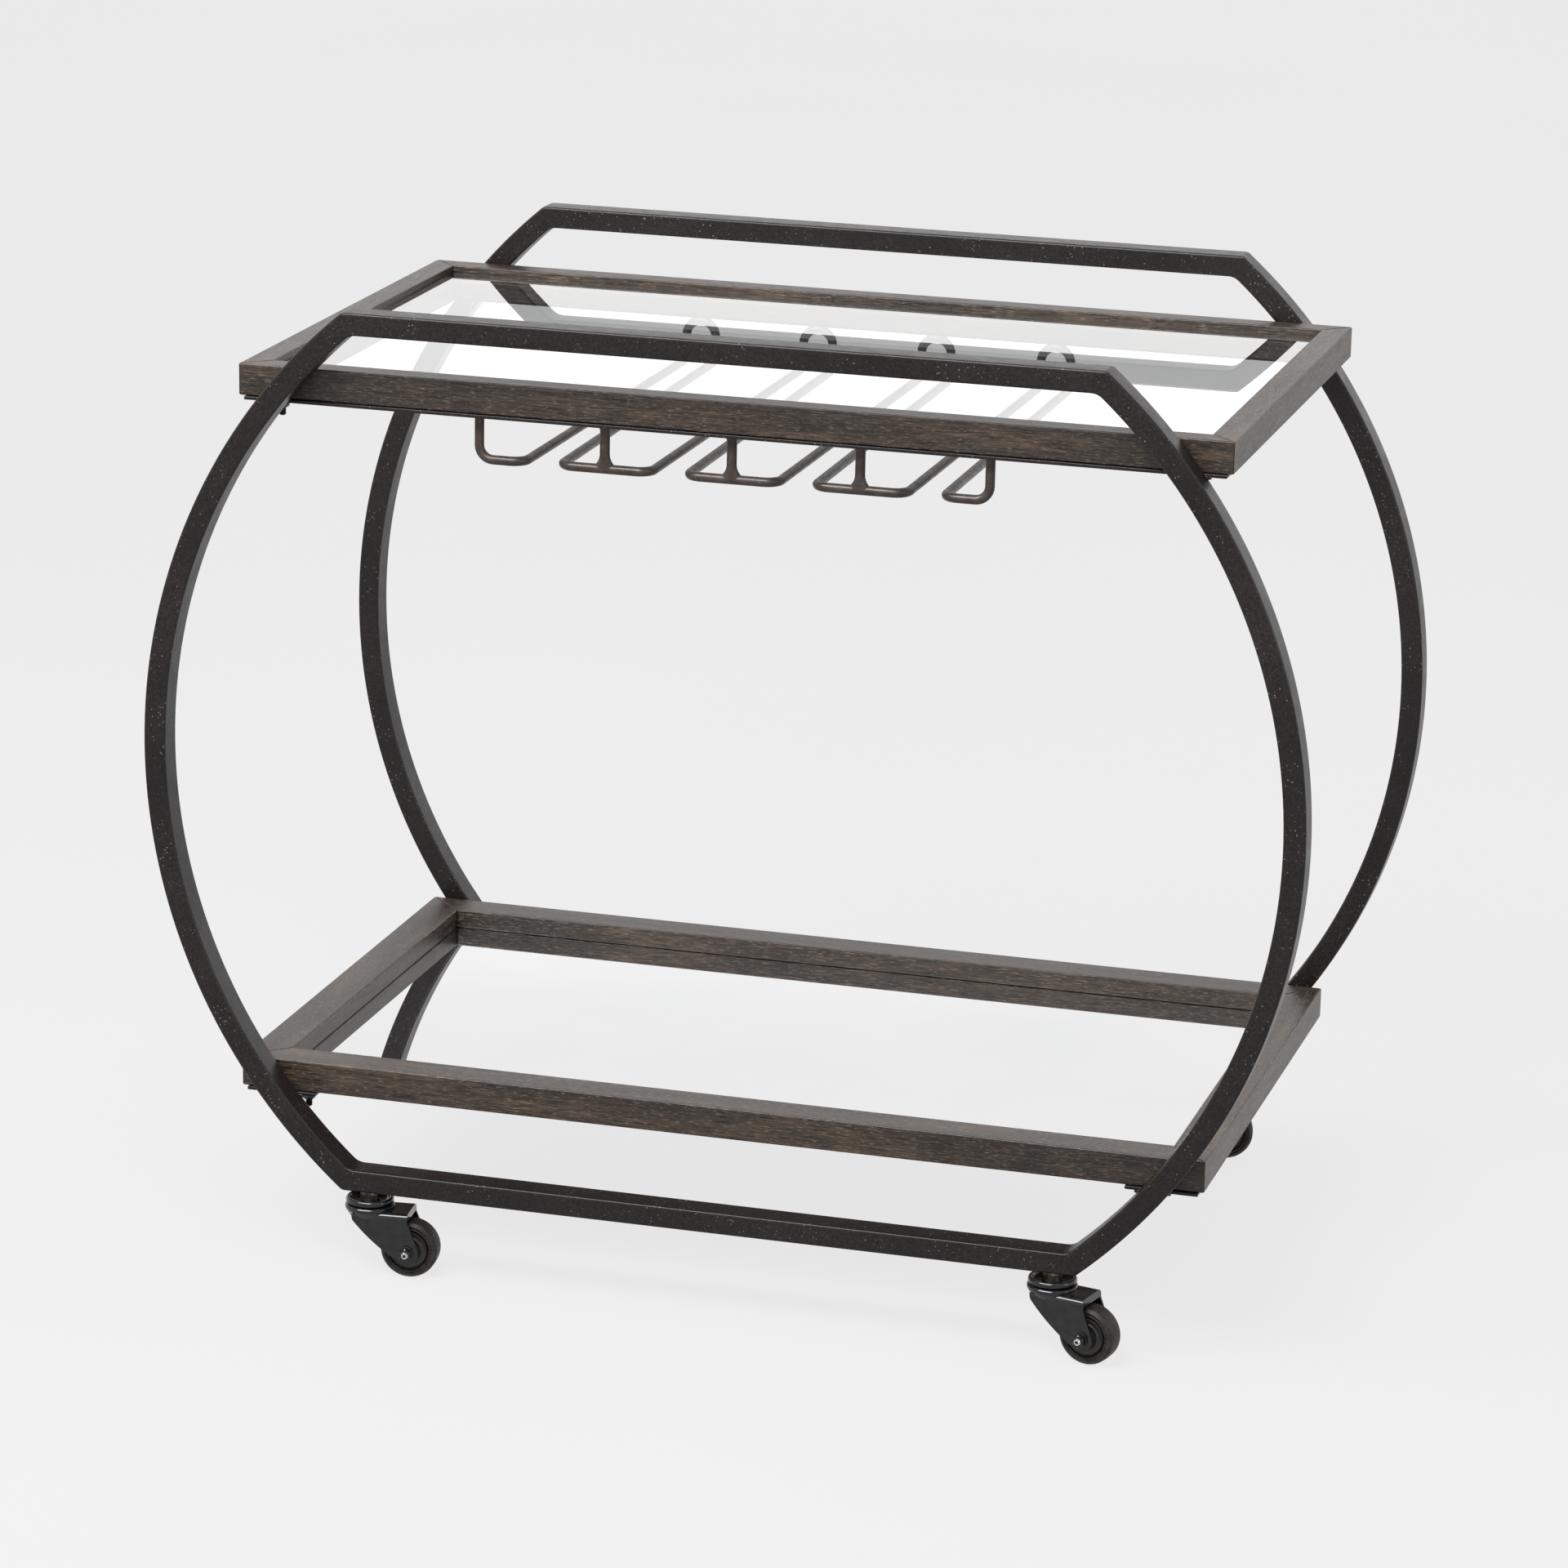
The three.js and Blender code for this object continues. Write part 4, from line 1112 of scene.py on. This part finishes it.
def pale_floor():
    """A dark floor that looks pale by its own glow, so that shadows on it stay faint."""
    n = Nodes("pale_floor")
    cloud = n.noise(0.7, 2)
    color = n.ramp(cloud, (0.3, FLOOR_WHITENESS), (0.7, FLOOR_WHITENESS + 0.004))
    glow = n.ramp(cloud, (0.3, 0.998), (0.7, 1.0))
    roughness = n.ramp(n.noise(3, 2), (0.3, 0.85), (0.7, 0.95))
    material = n.principled(color, roughness, Specular_IOR_Level=0.0, Emission_Strength=FLOOR_GLOW)
    n.link(glow, n.surface.inputs["Emission Color"])
    low_corner = (-FLOOR_REACH, -FLOOR_REACH, -FLOOR_THICKNESS)
    mesh = make_mesh("floor", *block(low_corner, (FLOOR_REACH, FLOOR_REACH, 0)), material)
    floor = bpy.data.objects.new("floor", mesh)
    bpy.context.scene.collection.objects.link(floor)
    floor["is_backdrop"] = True


def sky():
    """A white studio all round, brightest below a line a little above the horizon."""
    world = bpy.data.worlds.new("studio")
    world.use_nodes = True
    tree = world.node_tree
    tree.nodes.clear()
    coordinates = tree.nodes.new("ShaderNodeTexCoord")
    split = tree.nodes.new("ShaderNodeSeparateXYZ")
    ramp = tree.nodes.new("ShaderNodeValToRGB")
    background = tree.nodes.new("ShaderNodeBackground")
    output = tree.nodes.new("ShaderNodeOutputWorld")
    levels = ((BACKDROP_TOP, BACKDROP), (MID_SKY_START, MID_SKY))
    for element, (height, level) in zip(ramp.color_ramp.elements, levels):
        element.position = height
        element.color = (level, level, level, 1.0)
    tree.links.new(coordinates.outputs["Generated"], split.inputs["Vector"])
    tree.links.new(split.outputs["Z"], ramp.inputs["Fac"])
    tree.links.new(ramp.outputs["Color"], background.inputs["Color"])
    tree.links.new(background.outputs["Background"], output.inputs["Surface"])
    bpy.context.scene.world = world


def soft_box(name, location, target, width, height, watts):
    """A rectangular area light that looks at a target."""
    light = bpy.data.lights.new(name, "AREA")
    light.shape = "RECTANGLE"
    light.size = width
    light.size_y = height
    light.energy = watts
    item = bpy.data.objects.new(name, light)
    item.location = location
    item.rotation_mode = "QUATERNION"
    item.rotation_quaternion = (Vector(target) - Vector(location)).to_track_quat("-Z", "Y")
    bpy.context.scene.collection.objects.link(item)


CAMERA_PLACE = Vector((1.32236, -4.75170, 1.78223))
CAMERA_AZIMUTH = math.radians(15.71)
CAMERA_TILT = math.radians(15.72)
CAMERA_ROLL = math.radians(1.17)
CAMERA_LENS = 134.99
SENSOR_WIDTH = 36


def photographer():
    """The camera at its place, turned by azimuth, tilt and roll."""
    sin_azimuth = math.sin(CAMERA_AZIMUTH)
    cos_azimuth = math.cos(CAMERA_AZIMUTH)
    level = Vector((cos_azimuth, sin_azimuth, 0))
    onward = Vector((-sin_azimuth, cos_azimuth, 0))
    ahead = onward * math.cos(CAMERA_TILT) - Vector((0, 0, math.sin(CAMERA_TILT)))
    upward = level.cross(ahead)
    right = level * math.cos(CAMERA_ROLL) + upward * math.sin(CAMERA_ROLL)
    up = upward * math.cos(CAMERA_ROLL) - level * math.sin(CAMERA_ROLL)
    lens = bpy.data.cameras.new("camera")
    lens.lens = CAMERA_LENS
    lens.sensor_width = SENSOR_WIDTH
    lens.clip_start = 0.1
    lens.clip_end = 100
    camera = bpy.data.objects.new("camera", lens)
    camera.rotation_mode = "QUATERNION"
    camera.rotation_quaternion = Matrix((right, up, -ahead)).transposed().to_quaternion()
    camera.location = CAMERA_PLACE
    bpy.context.scene.collection.objects.link(camera)
    bpy.context.scene.camera = camera


pale_floor()
sky()
soft_box("key", location=(-0.8, -1.9, 3.0), target=(0, 0, 0.4), width=3.0, height=1.2, watts=230)
soft_box("side", location=(3.0, -0.6, 1.6), target=(0, 0, 0.5), width=0.8, height=1.4, watts=14)
photographer()
bpy.context.scene.view_settings.view_transform = "Standard"

low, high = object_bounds()
